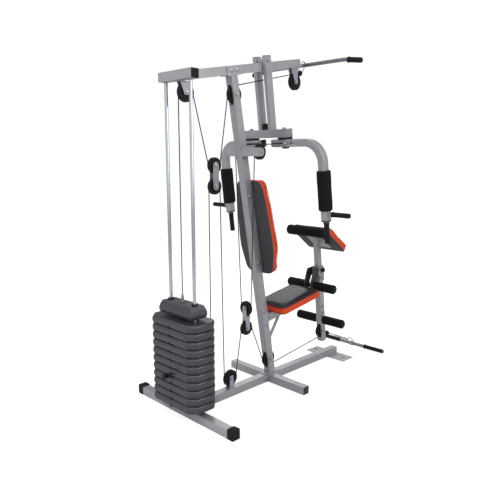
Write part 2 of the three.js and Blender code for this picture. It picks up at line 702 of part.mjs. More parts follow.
function kneeBracket() {
  const { y, z } = KNEE_ROLLER;
  const outline = [[y - 46, 486], [y - 12, 492], [y + 22, z - 12], [y + 14, z + 26], [y + 30, z + 66],
    [y + 58, z + 66], [y + 60, 601], [y + 112, 601], [y + 101, 706], [y + 49, 706], [y - 14, 698], [y - 46, 606]];
  const plates = [platePieceYZ(outline, 26, 30), platePieceYZ(outline, -30, -26)];
  const shaft = cylinder('x', SHAFT_RADIUS, -ROLLER_HALF - 4, ROLLER_HALF + 4);
  shaft.translate(0, y, z);
  const socket = cut(block(both(0, 27), both(0, 26), [34, 84]),
    block(both(0, POST_SIDE / 2 + 0.6), both(0, POST_SIDE / 2 + 0.6), [20, 90]));
  socket.rotateX(THREE.MathUtils.degToRad(POST_LEAN)).translate(0, LEG_PIVOT.y, LEG_PIVOT.z);
  const pivot = cylinder('x', 7, -36, 36).translate(0, LEG_PIVOT.y, LEG_PIVOT.z);
  return join(...plates, shaft, socket, pivot);
}

function rollerFoam(side) {
  const limits = side > 0 ? [ROLLER_START, ROLLER_HALF] : [-ROLLER_HALF, -ROLLER_START];
  const foam = cylinder('x', ROLLER_RADIUS, limits[0], limits[1], 18);
  return cut(foam, cylinder('x', SHAFT_RADIUS + 0.8, limits[0] - 5, limits[1] + 5, 12));
}

// ---- leg developer and arm curl pad ----

function legLever() {
  const tube = squareTube('z', -LEVER_LENGTH, 22, ARM_SIDE);
  const slot = block(both(0, 12.5), both(0, 30), both(LEVER_WHEEL.z, SMALL_WHEEL_RADIUS + 7));
  const bore = cylinder('x', 8, -40, 40);
  const holes = [-220, -270].map((z) => cylinder('x', 8, -40, 40, 10).translate(0, 0, z));
  const shaft = cylinder('x', SHAFT_RADIUS, -ROLLER_HALF - 4, ROLLER_HALF + 4);
  shaft.translate(0, -6, ANKLE_ROLLER_Z);
  const cheeks = [block([18, 21], both(LEVER_WHEEL.y + 4, 14), both(LEVER_WHEEL.z, 14)),
    block([-21, -18], both(LEVER_WHEEL.y + 4, 14), both(LEVER_WHEEL.z, 14))];
  const axle = cylinder('x', AXLE, -22, 22).translate(0, LEVER_WHEEL.y, LEVER_WHEEL.z);
  return join(cut(tube, slot, bore, ...holes), shaft, ...cheeks, axle);
}

// a place along the curl pad's slope and below its upper face, in the curl post's own frame
function curlPlace(alongSlope, depth) {
  const turn = THREE.MathUtils.degToRad(CURL_SLOPE);
  const y = CURL_TOP.y + alongSlope * Math.cos(turn) - depth * Math.sin(turn) - LEG_PIVOT.y;
  const z = CURL_TOP.z - alongSlope * Math.sin(turn) - depth * Math.cos(turn) - LEG_PIVOT.z;
  const place = new THREE.Vector3(0, y, z);
  return place.applyAxisAngle(new THREE.Vector3(1, 0, 0), -THREE.MathUtils.degToRad(POST_LEAN));
}

function curlPost() {
  const tilt = -THREE.MathUtils.degToRad(CURL_SLOPE + POST_LEAN);
  const tube = squareTube('z', 36, POST_TOP, POST_SIDE);
  const under = curlPlace(128, CURL_PAD.thickness + 2.6);
  const shelf = block(both(0, 70), both(0, 92), both(0, 2)).rotateX(tilt).translate(0, under.y, under.z);
  const roller = curlPlace(CURL_ROLLER.along, CURL_ROLLER.depth);
  const rod = cylinder('x', 8, -CURL_ROLLER.half - 2, CURL_ROLLER.half + 2).translate(0, roller.y, roller.z);
  const trim = block(both(0, 40), both(0, 90), [0, 60]).rotateX(tilt).translate(0, under.y, under.z);
  const arms = [-52, 52].map((x) => {
    const from = new THREE.Vector3(x, roller.y, roller.z);
    const to = curlPlace(60, CURL_PAD.thickness + 5).setX(x);
    return sweep(squareShape(4), [from, to]);
  });
  return join(cut(tube, trim), shelf, rod, ...arms);
}

function curlPad() {
  const { start, end, thickness, half } = CURL_PAD;
  const outline = roundedRectangle(half, (end - start) / 2, 26, 3);
  const bevel = { bevelSize: 6, bevelThickness: 6, bevelOffset: -6, bevelSegments: 1 };
  const pad = new THREE.ExtrudeGeometry(outline, { depth: thickness - 12, ...bevel });
  pad.translate(0, (start + end) / 2, 6 - thickness);
  return pad;
}

function curlRoller() {
  const foam = cylinder('x', CURL_ROLLER.radius, -CURL_ROLLER.half, CURL_ROLLER.half, 18);
  const bore = cylinder('x', 8.8, -CURL_ROLLER.half - 5, CURL_ROLLER.half + 5);
  const slots = [-52, 52].map((x) => block(both(x, 7), [-12, 60], [-60, 12]));
  return cut(foam, bore, ...slots);
}

function lockKnob() {
  return join(cylinder('x', 17, 36, 52, 14), cylinder('x', 6, 31, 38, 10));
}

// ---- pull bars ----

function latBar() {
  const { y, z, bend, tip, drop, radius } = LAT_BAR;
  const half = [new THREE.Vector3(bend, y, z), new THREE.Vector3(tip, y, z - drop)];
  const other = half.map((corner) => corner.clone().setX(-corner.x)).reverse();
  return roundBar(radius, [...other, ...half], 12);
}

function lowBar() {
  return cylinder('x', LOW_BAR.radius, -LOW_BAR.half, LOW_BAR.half, 12);
}

// ---- the whole machine ----

const gym = new THREE.Group();

gym.add(named('rear_spine', rearSpine(), material(steel)));
gym.add(named('front_spine', frontSpine(), material(steel)));
gym.add(placed(named('rear_stabilizer', stabilizer(REAR_HALF), material(steel)), 0, STACK_Y));
gym.add(named('mid_stabilizer', stabilizer(MID_HALF), material(steel)));
gym.add(named('rear_crossbar', rearCrossbar(), material(steel)));

const leaning = placed(new THREE.Group(), 0, MAST_FOOT_Y, 0, FRAME_LEAN);
leaning.add(named('mast', mast(), material(steel)));
leaning.add(named('top_beam', topBeam(), material(steel)));
leaning.add(wheelAt('mast_top_wheel', WHEEL_RADIUS, 0, MAST_TOP_WHEEL.v, MAST_TOP_WHEEL.w));
leaning.add(wheelAt('mast_bottom_wheel', WHEEL_RADIUS, 0, MAST_BOTTOM_WHEEL.v, MAST_BOTTOM_WHEEL.w));
leaning.add(wheelAt('lat_wheel', WHEEL_RADIUS, 0, LAT_WHEEL.v, LAT_WHEEL.w));
leaning.add(placed(named('backrest_pad', backrestPad(), material(orange, 0.6, 0)), 0, TUBE / 2 + 0.5, 752));
gym.add(leaning);

gym.add(wheelAt('rear_top_wheel', WHEEL_RADIUS, 0, REAR_WHEEL.y, REAR_WHEEL.z));
gym.add(wheelAt('base_wheel', WHEEL_RADIUS, 0, BASE_WHEEL.y, BASE_WHEEL.z));

for (const [side, word] of [[-1, 'left'], [1, 'right']]) {
  gym.add(placed(named(`guide_rod_${word}`, guideRod(), material(chrome, 0.15, 1)), side * ROD_X, STACK_Y));
  const { x, y, z } = ARM_WHEEL;
  gym.add(wheelAt(`arm_wheel_${word}`, SMALL_WHEEL_RADIUS, side * x, y, z));
}

const upper = placed(new THREE.Group(), 0, UPPER_BLOCK.y, UPPER_BLOCK.top);
upper.add(named('floating_bracket_upper', upperBlock(), material(chrome, 0.4, 0.8)));
upper.add(wheelAt('floating_wheel_1', SMALL_WHEEL_RADIUS, 0, 0, 0));
upper.add(wheelAt('floating_wheel_2', SMALL_WHEEL_RADIUS, 0, 0, UPPER_BLOCK.bottom - UPPER_BLOCK.top));
gym.add(upper);

const lower = placed(new THREE.Group(), 0, LOWER_BLOCK.y, LOWER_BLOCK.top);
lower.add(named('floating_bracket_lower', lowerBlock(), material(chrome, 0.4, 0.8)));
lower.add(wheelAt('floating_wheel_3', SMALL_WHEEL_RADIUS, 0, 0, 0, 'y'));
lower.add(wheelAt('floating_wheel_4', SMALL_WHEEL_RADIUS, 0, 0, LOWER_BLOCK.bottom - LOWER_BLOCK.top));
gym.add(lower);

gym.add(named('cable_lat', latCable(), material(black, 0.5, 0)));
gym.add(named('cable_low', lowCable(), material(black, 0.5, 0)));
gym.add(named('cable_arms', armCable(), material(black, 0.5, 0)));

const stack = placed(new THREE.Group(), 0, STACK_Y, 0);
for (let number = 1; number <= PLATE_COUNT; number += 1) {
  const name = `weight_plate_${String(number).padStart(2, '0')}`;
  stack.add(placed(named(name, weightPlate(), material(charcoal, 0.6, 0.1)), 0, 0, plateBottom(number)));
}
stack.add(placed(named('selector_block', selectorBlock(), material(charcoal, 0.55, 0.2)), 0, 0, SELECTOR_Z));
stack.add(placed(named('selector_pin', selectorPin(), material(black, 0.5, 0.2)), 0, 0, pinHeight(LIFTED_PLATES)));
gym.add(stack);

const press = placed(new THREE.Group(), 0, pressPivot.y, pressPivot.z, PRESS_LEAN);
press.add(named('press_frame', pressFrame(), material(steel)));
for (const [side, word] of [[-1, 'left'], [1, 'right']]) {
  press.add(named(`arm_${word}`, butterflyArm(side), material(steel)));
  press.add(placed(named(`arm_foam_${word}`, armFoam(), material(black, 0.9, 0)), side * ARM_OUTER_X));
}
gym.add(press);

const seat = placed(new THREE.Group(), SEAT_ORIGIN.x, SEAT_ORIGIN.y, SEAT_ORIGIN.z, SEAT_TILT);
seat.add(named('seat_frame', seatFrame(), material(steel)));
seat.add(named('seat_pad', seatPad(), material(vinyl, 0.5, 0)));
gym.add(seat);

gym.add(named('knee_bracket', kneeBracket(), material(charcoal, 0.5, 0.3)));
for (const [side, word] of [[-1, 'left'], [1, 'right']]) {
  const foam = named(`knee_foam_${word}`, rollerFoam(side), material(black, 0.9, 0));
  gym.add(placed(foam, 0, KNEE_ROLLER.y, KNEE_ROLLER.z));
}

const leg = placed(new THREE.Group(), LEG_PIVOT.x, LEG_PIVOT.y, LEG_PIVOT.z, POST_LEAN);
leg.add(named('leg_lever', legLever(), material(steel)));
leg.add(wheelAt('lever_wheel', SMALL_WHEEL_RADIUS, 0, LEVER_WHEEL.y, LEVER_WHEEL.z));
for (const [side, word] of [[-1, 'left'], [1, 'right']]) {
  const foam = named(`ankle_foam_${word}`, rollerFoam(side), material(black, 0.9, 0));
  leg.add(placed(foam, 0, -6, ANKLE_ROLLER_Z));
}
leg.add(named('curl_post', curlPost(), material(steel)));
leg.add(placed(named('lock_knob', lockKnob(), material(black, 0.5, 0)), 0, 0, 58));
gym.add(leg);

gym.add(placed(named('curl_pad', curlPad(), material(orange, 0.6, 0)), 0, CURL_TOP.y, CURL_TOP.z, -CURL_SLOPE));
const rollerPlace = curlPlace(CURL_ROLLER.along, CURL_ROLLER.depth);
leg.add(placed(named('curl_roller', curlRoller(), material(black, 0.9, 0)), 0, rollerPlace.y, rollerPlace.z));

gym.add(named('lat_bar', latBar(), material(charcoal, 0.4, 0.5)));
gym.add(placed(named('low_bar', lowBar(), material(chrome, 0.3, 0.9)), 0, LOW_BAR.y, LOW_BAR.z));

gym.updateMatrixWorld(true);
export default gym;
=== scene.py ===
"""Looks for the multi station home gym, in metres, +Z up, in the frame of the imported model."""
import json
import math

import bmesh
import bpy
from mathutils import Matrix, Vector, noise


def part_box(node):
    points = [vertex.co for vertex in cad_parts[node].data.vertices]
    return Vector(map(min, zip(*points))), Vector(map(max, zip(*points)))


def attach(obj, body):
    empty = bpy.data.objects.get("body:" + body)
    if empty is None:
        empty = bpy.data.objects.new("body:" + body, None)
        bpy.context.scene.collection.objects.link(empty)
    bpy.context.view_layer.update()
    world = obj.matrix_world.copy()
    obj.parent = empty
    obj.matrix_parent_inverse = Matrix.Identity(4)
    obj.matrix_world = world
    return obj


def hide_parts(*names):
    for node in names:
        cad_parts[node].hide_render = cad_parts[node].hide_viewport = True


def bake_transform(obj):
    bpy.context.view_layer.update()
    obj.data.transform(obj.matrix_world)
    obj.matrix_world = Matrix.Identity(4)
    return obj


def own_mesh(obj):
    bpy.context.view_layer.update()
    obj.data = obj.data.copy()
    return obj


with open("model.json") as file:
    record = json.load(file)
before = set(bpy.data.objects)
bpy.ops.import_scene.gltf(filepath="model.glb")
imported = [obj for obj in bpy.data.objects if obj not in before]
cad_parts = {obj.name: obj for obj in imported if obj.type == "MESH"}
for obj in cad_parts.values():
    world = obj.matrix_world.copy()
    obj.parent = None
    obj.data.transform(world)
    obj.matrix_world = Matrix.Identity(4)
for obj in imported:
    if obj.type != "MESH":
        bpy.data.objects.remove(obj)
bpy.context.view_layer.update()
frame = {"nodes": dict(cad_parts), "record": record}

SILVER, CHROME, ZINC = "silver_paint", "chrome", "zinc"
SHELL, NYLON, PLASTIC, CABLE = "stack_shell", "nylon", "black_plastic", "cable_cover"
FOAM, VINYL, ORANGE = "foam", "vinyl_black", "vinyl_orange"

# ---- places, each the same as in the CAD model ----

TUBE = 0.050
HALF = TUBE / 2
STACK_Y = -0.708
ROD_X = 0.106
CROSS_DROP = 0.432
CROSSBAR_Z = 1.904
BEAM_Z = 2.002
MAST_WHEEL_HIGH, MAST_WHEEL_LOW = 1.867, 0.153
LAT_WHEEL = (0.550, 1.890)
ARM_WHEEL_X, ARM_WHEEL = 0.082, (-0.172, 1.510)
ARM_PIVOT_X = 0.140
ARM_DROP = 0.491
ARM_OUTER_X = 0.417
ARM_BEND = 0.120
ARM_END = 0.951
ARM_SIDE = 0.045
CABLE_RADIUS = 0.003
BIG_WHEEL, BIG_RUN = 0.052, 0.0485
SMALL_WHEEL, SMALL_RUN = 0.046, 0.0425
SIDES = ((-1, "left"), (1, "right"))
SQUARE = ((-1, -1), (1, -1), (1, 1), (-1, 1))


def turned(y, z, degrees):
    """A frame whose origin is at (0, y, z) and which is turned about X."""
    return Matrix.Translation((0, y, z)) @ Matrix.Rotation(math.radians(degrees), 4, "X")


HERE = Matrix.Identity(4)
LEANING = turned(0.0286, 0, 10.2)
PRESS = turned(*(LEANING @ Vector((0, 0.268, 2.037)))[1:], 7.5)
SEAT = turned(-0.024, 0.440, 9.2)
LEG = turned(0.5326, 0.625, 6.2)
CURL = turned(0.438, 1.011, -37)


def at(x, y, z, frame_matrix=HERE):
    """A frame at a place in another frame, turned as that one is."""
    return frame_matrix @ Matrix.Translation((x, y, z))


def outward(side):
    """The turn that takes Z to +X for side 1, and to -X for side -1."""
    return Matrix.Rotation(side * math.pi / 2, 4, "Y")


def on_x(x, y, z, frame_matrix=HERE, side=1):
    """A frame at a place in another frame, with its Z along +X, or along -X for side -1."""
    return at(x, y, z, frame_matrix) @ outward(side)


def on_y(x, y, z, frame_matrix=HERE):
    """A frame at a place in another frame, with its Z along +Y."""
    return at(x, y, z, frame_matrix) @ Matrix.Rotation(-math.pi / 2, 4, "X")


def toward_z(direction):
    """The turn that takes Z to a direction."""
    return direction.to_track_quat("Z", "Y").to_matrix().to_4x4()


# ---- materials ----

class Shader:
    """A principled material whose colour, roughness and bump come from procedural nodes."""

    def __init__(self, name, metallic=0.0, roughness=0.5):
        self.material = bpy.data.materials.new(name)
        self.material.use_nodes = True
        self.tree = self.material.node_tree
        self.principled = self.tree.nodes["Principled BSDF"]
        self.principled.inputs["Metallic"].default_value = metallic
        self.principled.inputs["Roughness"].default_value = roughness
        self.principled.inputs["Specular IOR Level"].default_value = 0.5 if metallic else 0.3
        self.where = self.add("ShaderNodeTexCoord").outputs["Object"]

    def add(self, kind, **values):
        node = self.tree.nodes.new(kind)
        for key, value in values.items():
            if hasattr(node, key):
                setattr(node, key, value)
            else:
                node.inputs[key.replace("_", " ")].default_value = value
        return node

    def link(self, out, into):
        self.tree.links.new(out, into)

    def noise(self, scale, detail=3.0, roughness=0.5, stretch=None):
        node = self.add("ShaderNodeTexNoise", Scale=scale, Detail=detail, Roughness=roughness)
        place = self.where
        if stretch:
            mapping = self.add("ShaderNodeMapping", Scale=stretch)
            self.link(place, mapping.inputs["Vector"])
            place = mapping.outputs["Vector"]
        self.link(place, node.inputs["Vector"])
        return node.outputs["Fac"]

    def cells(self, scale, feature="DISTANCE_TO_EDGE"):
        node = self.add("ShaderNodeTexVoronoi", feature=feature, Scale=scale)
        self.link(self.where, node.inputs["Vector"])
        return node.outputs["Distance"]

    def ramp(self, factor, stops):
        node = self.add("ShaderNodeValToRGB")
        elements = node.color_ramp.elements
        while len(elements) < len(stops):
            elements.new(0.5)
        for element, (place, value) in zip(elements, stops):
            element.position = place
            element.color = (*value, 1) if isinstance(value, tuple) else (value, value, value, 1)
        self.link(factor, node.inputs["Fac"])
        return node.outputs["Color"]

    def bump(self, height, strength, distance):
        node = self.add("ShaderNodeBump", Strength=strength, Distance=distance)
        self.link(height, node.inputs["Height"])
        previous = self.principled.inputs["Normal"]
        if previous.is_linked:
            self.link(previous.links[0].from_socket, node.inputs["Normal"])
        self.link(node.outputs["Normal"], previous)

    def worn(self, amount, colour_socket):
        """Lighter along the convex edges, as handled paint is."""
        geometry = self.add("ShaderNodeNewGeometry")
        edge = self.ramp(geometry.outputs["Pointiness"], [(0.52, 0.0), (0.62, amount)])
        mix = self.add("ShaderNodeMix", data_type="RGBA")
        self.link(edge, mix.inputs["Factor"])
        self.link(colour_socket, mix.inputs["A"])
        mix.inputs["B"].default_value = (0.62, 0.61, 0.62, 1)
        return mix.outputs["Result"]


def shades(base, spread):
    return [(0.3, tuple(c * (1 - spread) for c in base)), (0.7, tuple(min(1, c * (1 + spread)) for c in base))]


def coating(name, base, roughness, metallic, grain=900, depth=0.00012, wear=0.15, coat=0.0):
    """Powder coat: a fine orange peel, faint cloudiness and slightly rubbed edges."""
    shader = Shader(name, metallic, roughness)
    cloudy = shader.ramp(shader.noise(9, 4), shades(base, 0.06))
    shader.link(shader.worn(wear, cloudy), shader.principled.inputs["Base Color"])
    uneven = shader.ramp(shader.noise(26, 5), [(0.3, roughness - 0.06), (0.7, roughness + 0.07)])
    shader.link(uneven, shader.principled.inputs["Roughness"])
    shader.bump(shader.noise(grain, 2), 0.35, depth)
    shader.principled.inputs["Coat Weight"].default_value = coat
    return shader.material


def polished(name, base, roughness, streak=(4, 4, 90)):
    """Bright metal with faint streaks from drawing or plating."""
    shader = Shader(name, 1.0, roughness)
    shader.link(shader.ramp(shader.noise(14, 4), shades(base, 0.05)), shader.principled.inputs["Base Color"])
    lines = shader.noise(40, 4, 0.6, stretch=streak)
    shader.link(shader.ramp(lines, [(0.3, roughness * 0.85), (0.75, roughness * 1.25)]),
                shader.principled.inputs["Roughness"])
    shader.bump(lines, 0.05, 0.00005)
    return shader.material


def moulded(name, base, roughness, grain=420, depth=0.0002, strength=0.5, scuff=0.35, shine=0.2):
    """Moulded plastic or rubber with a spark-eroded texture and pale scuffs."""
    shader = Shader(name, 0.0, roughness)
    shader.principled.inputs["Specular IOR Level"].default_value = shine
    tone = shader.ramp(shader.noise(30, 6, 0.65), [
        (0.25, tuple(c * 0.82 for c in base)), (0.6, base), (0.85, tuple(c * (1 + scuff) for c in base))])
    shader.link(tone, shader.principled.inputs["Base Color"])
    shader.link(shader.ramp(shader.noise(70, 4), [(0.3, roughness - 0.07), (0.7, roughness + 0.09)]),
                shader.principled.inputs["Roughness"])
    shader.bump(shader.noise(grain, 3, 0.6), strength, depth)
    return shader.material


def foam_skin(name, base):
    """Closed-cell foam: matt, with open pores and long soft wrinkles round the roller."""
    shader = Shader(name, 0.0, 0.62)
    shader.link(shader.ramp(shader.noise(55, 6, 0.7), shades(base, 0.25)), shader.principled.inputs["Base Color"])
    pores = shader.cells(520, "F1")
    shader.bump(shader.ramp(pores, [(0.05, 0.0), (0.4, 1.0)]), 0.6, 0.0005)
    shader.bump(shader.noise(90, 3), 0.3, 0.0007)
    shader.principled.inputs["Specular IOR Level"].default_value = 0.12
    return shader.material


def vinyl(name, base, roughness, coat=0.15):
    """Upholstery vinyl with a pebbled leather grain, soft creases and a slight shine."""
    shader = Shader(name, 0.0, roughness)
    shader.link(shader.ramp(shader.noise(18, 5, 0.6), shades(base, 0.09)), shader.principled.inputs["Base Color"])
    grain = shader.cells(430)
    shader.link(shader.ramp(shader.noise(60, 3), [(0.3, roughness - 0.06), (0.7, roughness + 0.08)]),
                shader.principled.inputs["Roughness"])
    shader.bump(shader.ramp(grain, [(0.0, 0.0), (0.12, 1.0)]), 0.35, 0.0003)
    shader.bump(shader.noise(24, 4, 0.6), 0.25, 0.0016)
    shader.principled.inputs["Coat Weight"].default_value = coat
    shader.principled.inputs["Coat Roughness"].default_value = 0.35
    return shader.material


def stitched(name, base):
    """Welt piping with the twist of its cord showing through the vinyl."""
    shader = Shader(name, 0.0, 0.5)
    shader.link(shader.ramp(shader.noise(120, 3), shades(base, 0.15)), shader.principled.inputs["Base Color"])
    shader.bump(shader.cells(300), 0.5, 0.0005)
    return shader.material


def braided(name, base):
    """Plastic-covered steel rope: the strands show as slanting ridges."""
    shader = Shader(name, 0.0, 0.42)
    shader.link(shader.ramp(shader.noise(160, 4), shades(base, 0.2)), shader.principled.inputs["Base Color"])
    wave = shader.add("ShaderNodeTexWave", Scale=180.0, Distortion=0.4, bands_direction="DIAGONAL")
    shader.link(shader.where, wave.inputs["Vector"])
    shader.bump(wave.outputs["Fac"], 0.3, 0.0004)
    return shader.material


def dark_behind_plane(name, dark, light, border):
    """Powder coat whose colour is set by position alone: dark behind a plane of constant Y and light in front of it.
    """
    shader = Shader(name, 0.4, 0.42)
    place = shader.add("ShaderNodeSeparateXYZ")
    shader.link(shader.where, place.inputs["Vector"])
    ahead = shader.add("ShaderNodeMapRange")
    ahead.inputs["From Min"].default_value, ahead.inputs["From Max"].default_value = border
    shader.link(place.outputs["Y"], ahead.inputs["Value"])
    mix = shader.add("ShaderNodeMix", data_type="RGBA")
    shader.link(ahead.outputs["Result"], mix.inputs["Factor"])
    shader.link(shader.ramp(shader.noise(9, 4), shades(dark, 0.1)), mix.inputs["A"])
    shader.link(shader.ramp(shader.noise(9, 4), shades(light, 0.06)), mix.inputs["B"])
    shader.link(shader.worn(0.15, mix.outputs["Result"]), shader.principled.inputs["Base Color"])
    shader.link(shader.ramp(shader.noise(26, 5), [(0.3, 0.36), (0.7, 0.49)]), shader.principled.inputs["Roughness"])
    shader.bump(shader.noise(900, 2), 0.35, 0.00012)
    return shader.material


LOOKS = {
    SILVER: coating("silver_powder_coat", (0.41, 0.405, 0.435), 0.36, 0.55, coat=0.15),
    CHROME: polished("chrome_plate", (0.70, 0.73, 0.79), 0.16, (0.6, 0.6, 0.05)),
    "steel": polished("drawn_steel", (0.34, 0.35, 0.38), 0.30, (0.05, 1, 1)),
    ZINC: polished("zinc_plate", (0.50, 0.51, 0.53), 0.28),
    SHELL: moulded("stack_shell", (0.036, 0.035, 0.047), 0.30, 500, 0.0001, 0.3, 0.2, shine=0.9),
    NYLON: moulded("black_nylon", (0.011, 0.011, 0.013), 0.36, 700, 0.0001, 0.4),
    PLASTIC: moulded("black_plastic", (0.012, 0.012, 0.014), 0.42, 600, 0.00015, 0.4),
    CABLE: braided("cable_cover", (0.020, 0.020, 0.021)),
    FOAM: foam_skin("black_foam", (0.0075, 0.0075, 0.0090)),
    VINYL: vinyl("black_vinyl", (0.016, 0.015, 0.018), 0.34),
    ORANGE: vinyl("orange_vinyl", (0.66, 0.052, 0.008), 0.42, 0.08),
    "rubber": moulded("black_rubber", (0.011, 0.011, 0.013), 0.55, 500, 0.0003, 0.5),
    "grey_cap": moulded("grey_cap", (0.30, 0.295, 0.32), 0.45, 500, 0.0002, 0.4, 0.1),
    "board": moulded("backing_board", (0.060, 0.060, 0.066), 0.50, 260, 0.0003, 0.5, 0.15),
    "piping": stitched("welt_piping", (0.020, 0.019, 0.022)),
    "thread": stitched("orange_welt", (0.62, 0.055, 0.010)),
    "bracket": dark_behind_plane("bracket_coat", (0.030, 0.030, 0.036), (0.36, 0.355, 0.385), (0.488, 0.496)),
}

# ---- mesh makers ----


def finish_piece(name, bm, look, body, matrix=HERE, slot=None, sharp=32):
    """A named piece from a bmesh in a frame of its own, smooth except at its real edges."""
    bmesh.ops.recalc_face_normals(bm, faces=bm.faces)
    mesh = bpy.data.meshes.new(name)
    bm.to_mesh(mesh)
    bm.free()
    mesh.transform(matrix)
    mesh.polygons.foreach_set("use_smooth", [True] * len(mesh.polygons))
    mesh.set_sharp_from_angle(angle=math.radians(sharp))
    mesh.materials.append(LOOKS[look])
    piece = bpy.data.objects.new(name, mesh)
    bpy.context.scene.collection.objects.link(piece)
    if body:
        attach(piece, body)
    known = {m["slot"] for m in frame["record"]["materials"]}
    slot = slot or (look if look in known else None)
    return piece


def skin(bm, rings, closed=False, caps=True):
    """Joins rings of vertices, each of the same count, into one surface."""
    made = [[bm.verts.new(p) for p in ring] for ring in rings]
    count = len(made[0])
    pairs = list(zip(made, made[1:]))
    if closed:
        pairs.append((made[-1], made[0]))
    for low, high in pairs:
        for i in range(count):
            j = (i + 1) % count
            bm.faces.new((low[i], low[j], high[j], high[i]))
    if caps and not closed:
        bm.faces.new(list(reversed(made[0])))
        bm.faces.new(made[-1])
    return made


def fillet(points, radius, steps=3, closed=False):
    """The same outline with each corner rounded. A point may carry its own radius as a third number."""
    out = []
    count = len(points)
    for i, point in enumerate(points):
        here = Vector(point[:2])
        own = point[2] if len(point) > 2 else radius
        if (not closed and i in (0, count - 1)) or own <= 0:
            out.append(here)
            continue
        before = Vector(points[i - 1][:2])
        after = Vector(points[(i + 1) % count][:2])
        into, away = (before - here), (after - here)
        reach = min(own, into.length * 0.48, away.length * 0.48)
        a = here + into.normalized() * reach
        b = here + away.normalized() * reach
        for k in range(steps + 1):
            t = k / steps
            out.append(a * (1 - t) ** 2 + here * (2 * t * (1 - t)) + b * t ** 2)
    return out


def lathe(name, profile, look, body, matrix, sides=40, rounding=0.001, closed=False, **more):
    """A turned piece: (radius, height) points about the frame's Z axis."""
    bm = bmesh.new()
    add_lathe(bm, profile, Matrix.Identity(4), sides, rounding, closed)
    return finish_piece(name, bm, look, body, matrix, **more)


def add_lathe(bm, profile, matrix, sides=40, rounding=0.001, closed=False):
    soft = fillet(profile, rounding, 3, closed)
    rings = []
    for r, h in soft:
        ring = []
        for i in range(sides):
            angle = 2 * math.pi * i / sides
            ring.append(matrix @ Vector((max(r, 1e-5) * math.cos(angle), max(r, 1e-5) * math.sin(angle), h)))
        rings.append(ring)
    skin(bm, rings, closed, caps=not closed)


def add_prism(bm, outline, low, high, matrix=HERE, edge=0.0015):
    """An extruded outline with softened rims, along the frame's Z axis."""
    centre = sum((Vector(p) for p in outline), Vector((0, 0))) / len(outline)

    def ring(z, inset):
        points = []
        for p in outline:
            away = Vector(p) - centre
            points.append(matrix @ Vector((*(centre + away * (1 - inset / max(away.length, 1e-6))), z)))
        return points
    skin(bm, [ring(low, edge), ring(low + edge * 0.3, edge * 0.3), ring(low + edge, 0), ring(high - edge, 0),
              ring(high - edge * 0.3, edge * 0.3), ring(high, edge)])


def prism(name, outline, low, high, look, body, matrix, edge=0.0015, **more):
    bm = bmesh.new()
    add_prism(bm, outline, low, high, HERE, edge)
    return finish_piece(name, bm, look, body, matrix, **more)


def rectangle(half_x, half_y, radius, steps=4, x=0.0, y=0.0):
    corners = [(x - half_x, y - half_y), (x + half_x, y - half_y), (x + half_x, y + half_y), (x - half_x, y + half_y)]
    return fillet(corners, radius, steps, closed=True)


def circle(radius, sides=12):
    angles = [2 * math.pi * i / sides for i in range(sides)]
    return [Vector((radius * math.cos(a), radius * math.sin(a))) for a in angles]


def carried(points, up, closed=False):
    """A frame at each point of a path, turned as little as possible from one to the next."""
    count = len(points)
    frames = []
    for i, here in enumerate(points):
        before = points[i - 1] if closed or i else here
        after = points[(i + 1) % count] if closed or i < count - 1 else here
        tangent = (after - before).normalized()
        side = (up - tangent * up.dot(tangent)).normalized()
        up = side
        frames.append((here, side, tangent.cross(side)))
    return frames


def add_sweep(bm, points, section, up=(0, 0, 1), closed=False, caps=True):
    """A section swept along a path. The section's second axis starts along up."""
    path = [Vector(p) for p in points]
    rings = []
    for here, side, across in carried(path, Vector(up), closed):
        rings.append([here + across * u + side * v for u, v in section])
    skin(bm, rings, closed, caps)


def sweep(name, points, section, look, body, matrix=HERE, up=(0, 0, 1), closed=False, caps=True, **more):
    bm = bmesh.new()
    add_sweep(bm, points, section, up, closed, caps)
    return finish_piece(name, bm, look, body, matrix, **more)


def subdivided(points, step):
    out = [Vector(points[0])]
    for a, b in zip(points, points[1:]):
        a, b = Vector(a), Vector(b)
        parts = max(1, math.ceil((b - a).length / step))
        out += [a.lerp(b, i / parts) for i in range(1, parts + 1)]
    return out


def square_section(side, radius=0.004):
    return rectangle(side / 2, side / 2, radius, 3)


# ---- CAD nodes that stay: soft edges and a finish ----

def keep(node, look, edge=0.0015, sharp=32):
    """Gives a CAD node its look, with bevelled edges that catch the light."""
    piece = frame["nodes"][node]
    mesh = piece.data
    mesh.materials.clear()
    mesh.materials.append(LOOKS[look])
    for polygon in mesh.polygons:
        polygon.material_index = 0
    bevel = piece.modifiers.new("soft edges", "BEVEL")
    bevel.width = edge
    bevel.segments = 2
    bevel.limit_method = "ANGLE"
    bevel.angle_limit = math.radians(sharp + 4)
    bevel.use_clamp_overlap = True
    bevel.harden_normals = True
    mesh.polygons.foreach_set("use_smooth", [True] * len(mesh.polygons))
    mesh.set_sharp_from_angle(angle=math.radians(sharp))
    weighted = piece.modifiers.new("flat faces stay flat", "WEIGHTED_NORMAL")
    weighted.keep_sharp = True


for node in ("rear_spine", "front_spine", "rear_stabilizer", "mid_stabilizer", "rear_crossbar", "mast", "top_beam",
             "press_frame", "seat_frame", "leg_lever", "curl_post"):
    keep(node, SILVER)
# The knee bracket's colour is set by position: dark behind Y = 0.488 and silver-grey in front of Y = 0.496.
keep("knee_bracket", "bracket")
keep("floating_bracket_upper", ZINC, 0.0008)
keep("floating_bracket_lower", ZINC, 0.0008)
keep("selector_block", SHELL, 0.0012, sharp=40)


# ---- weight plates ----

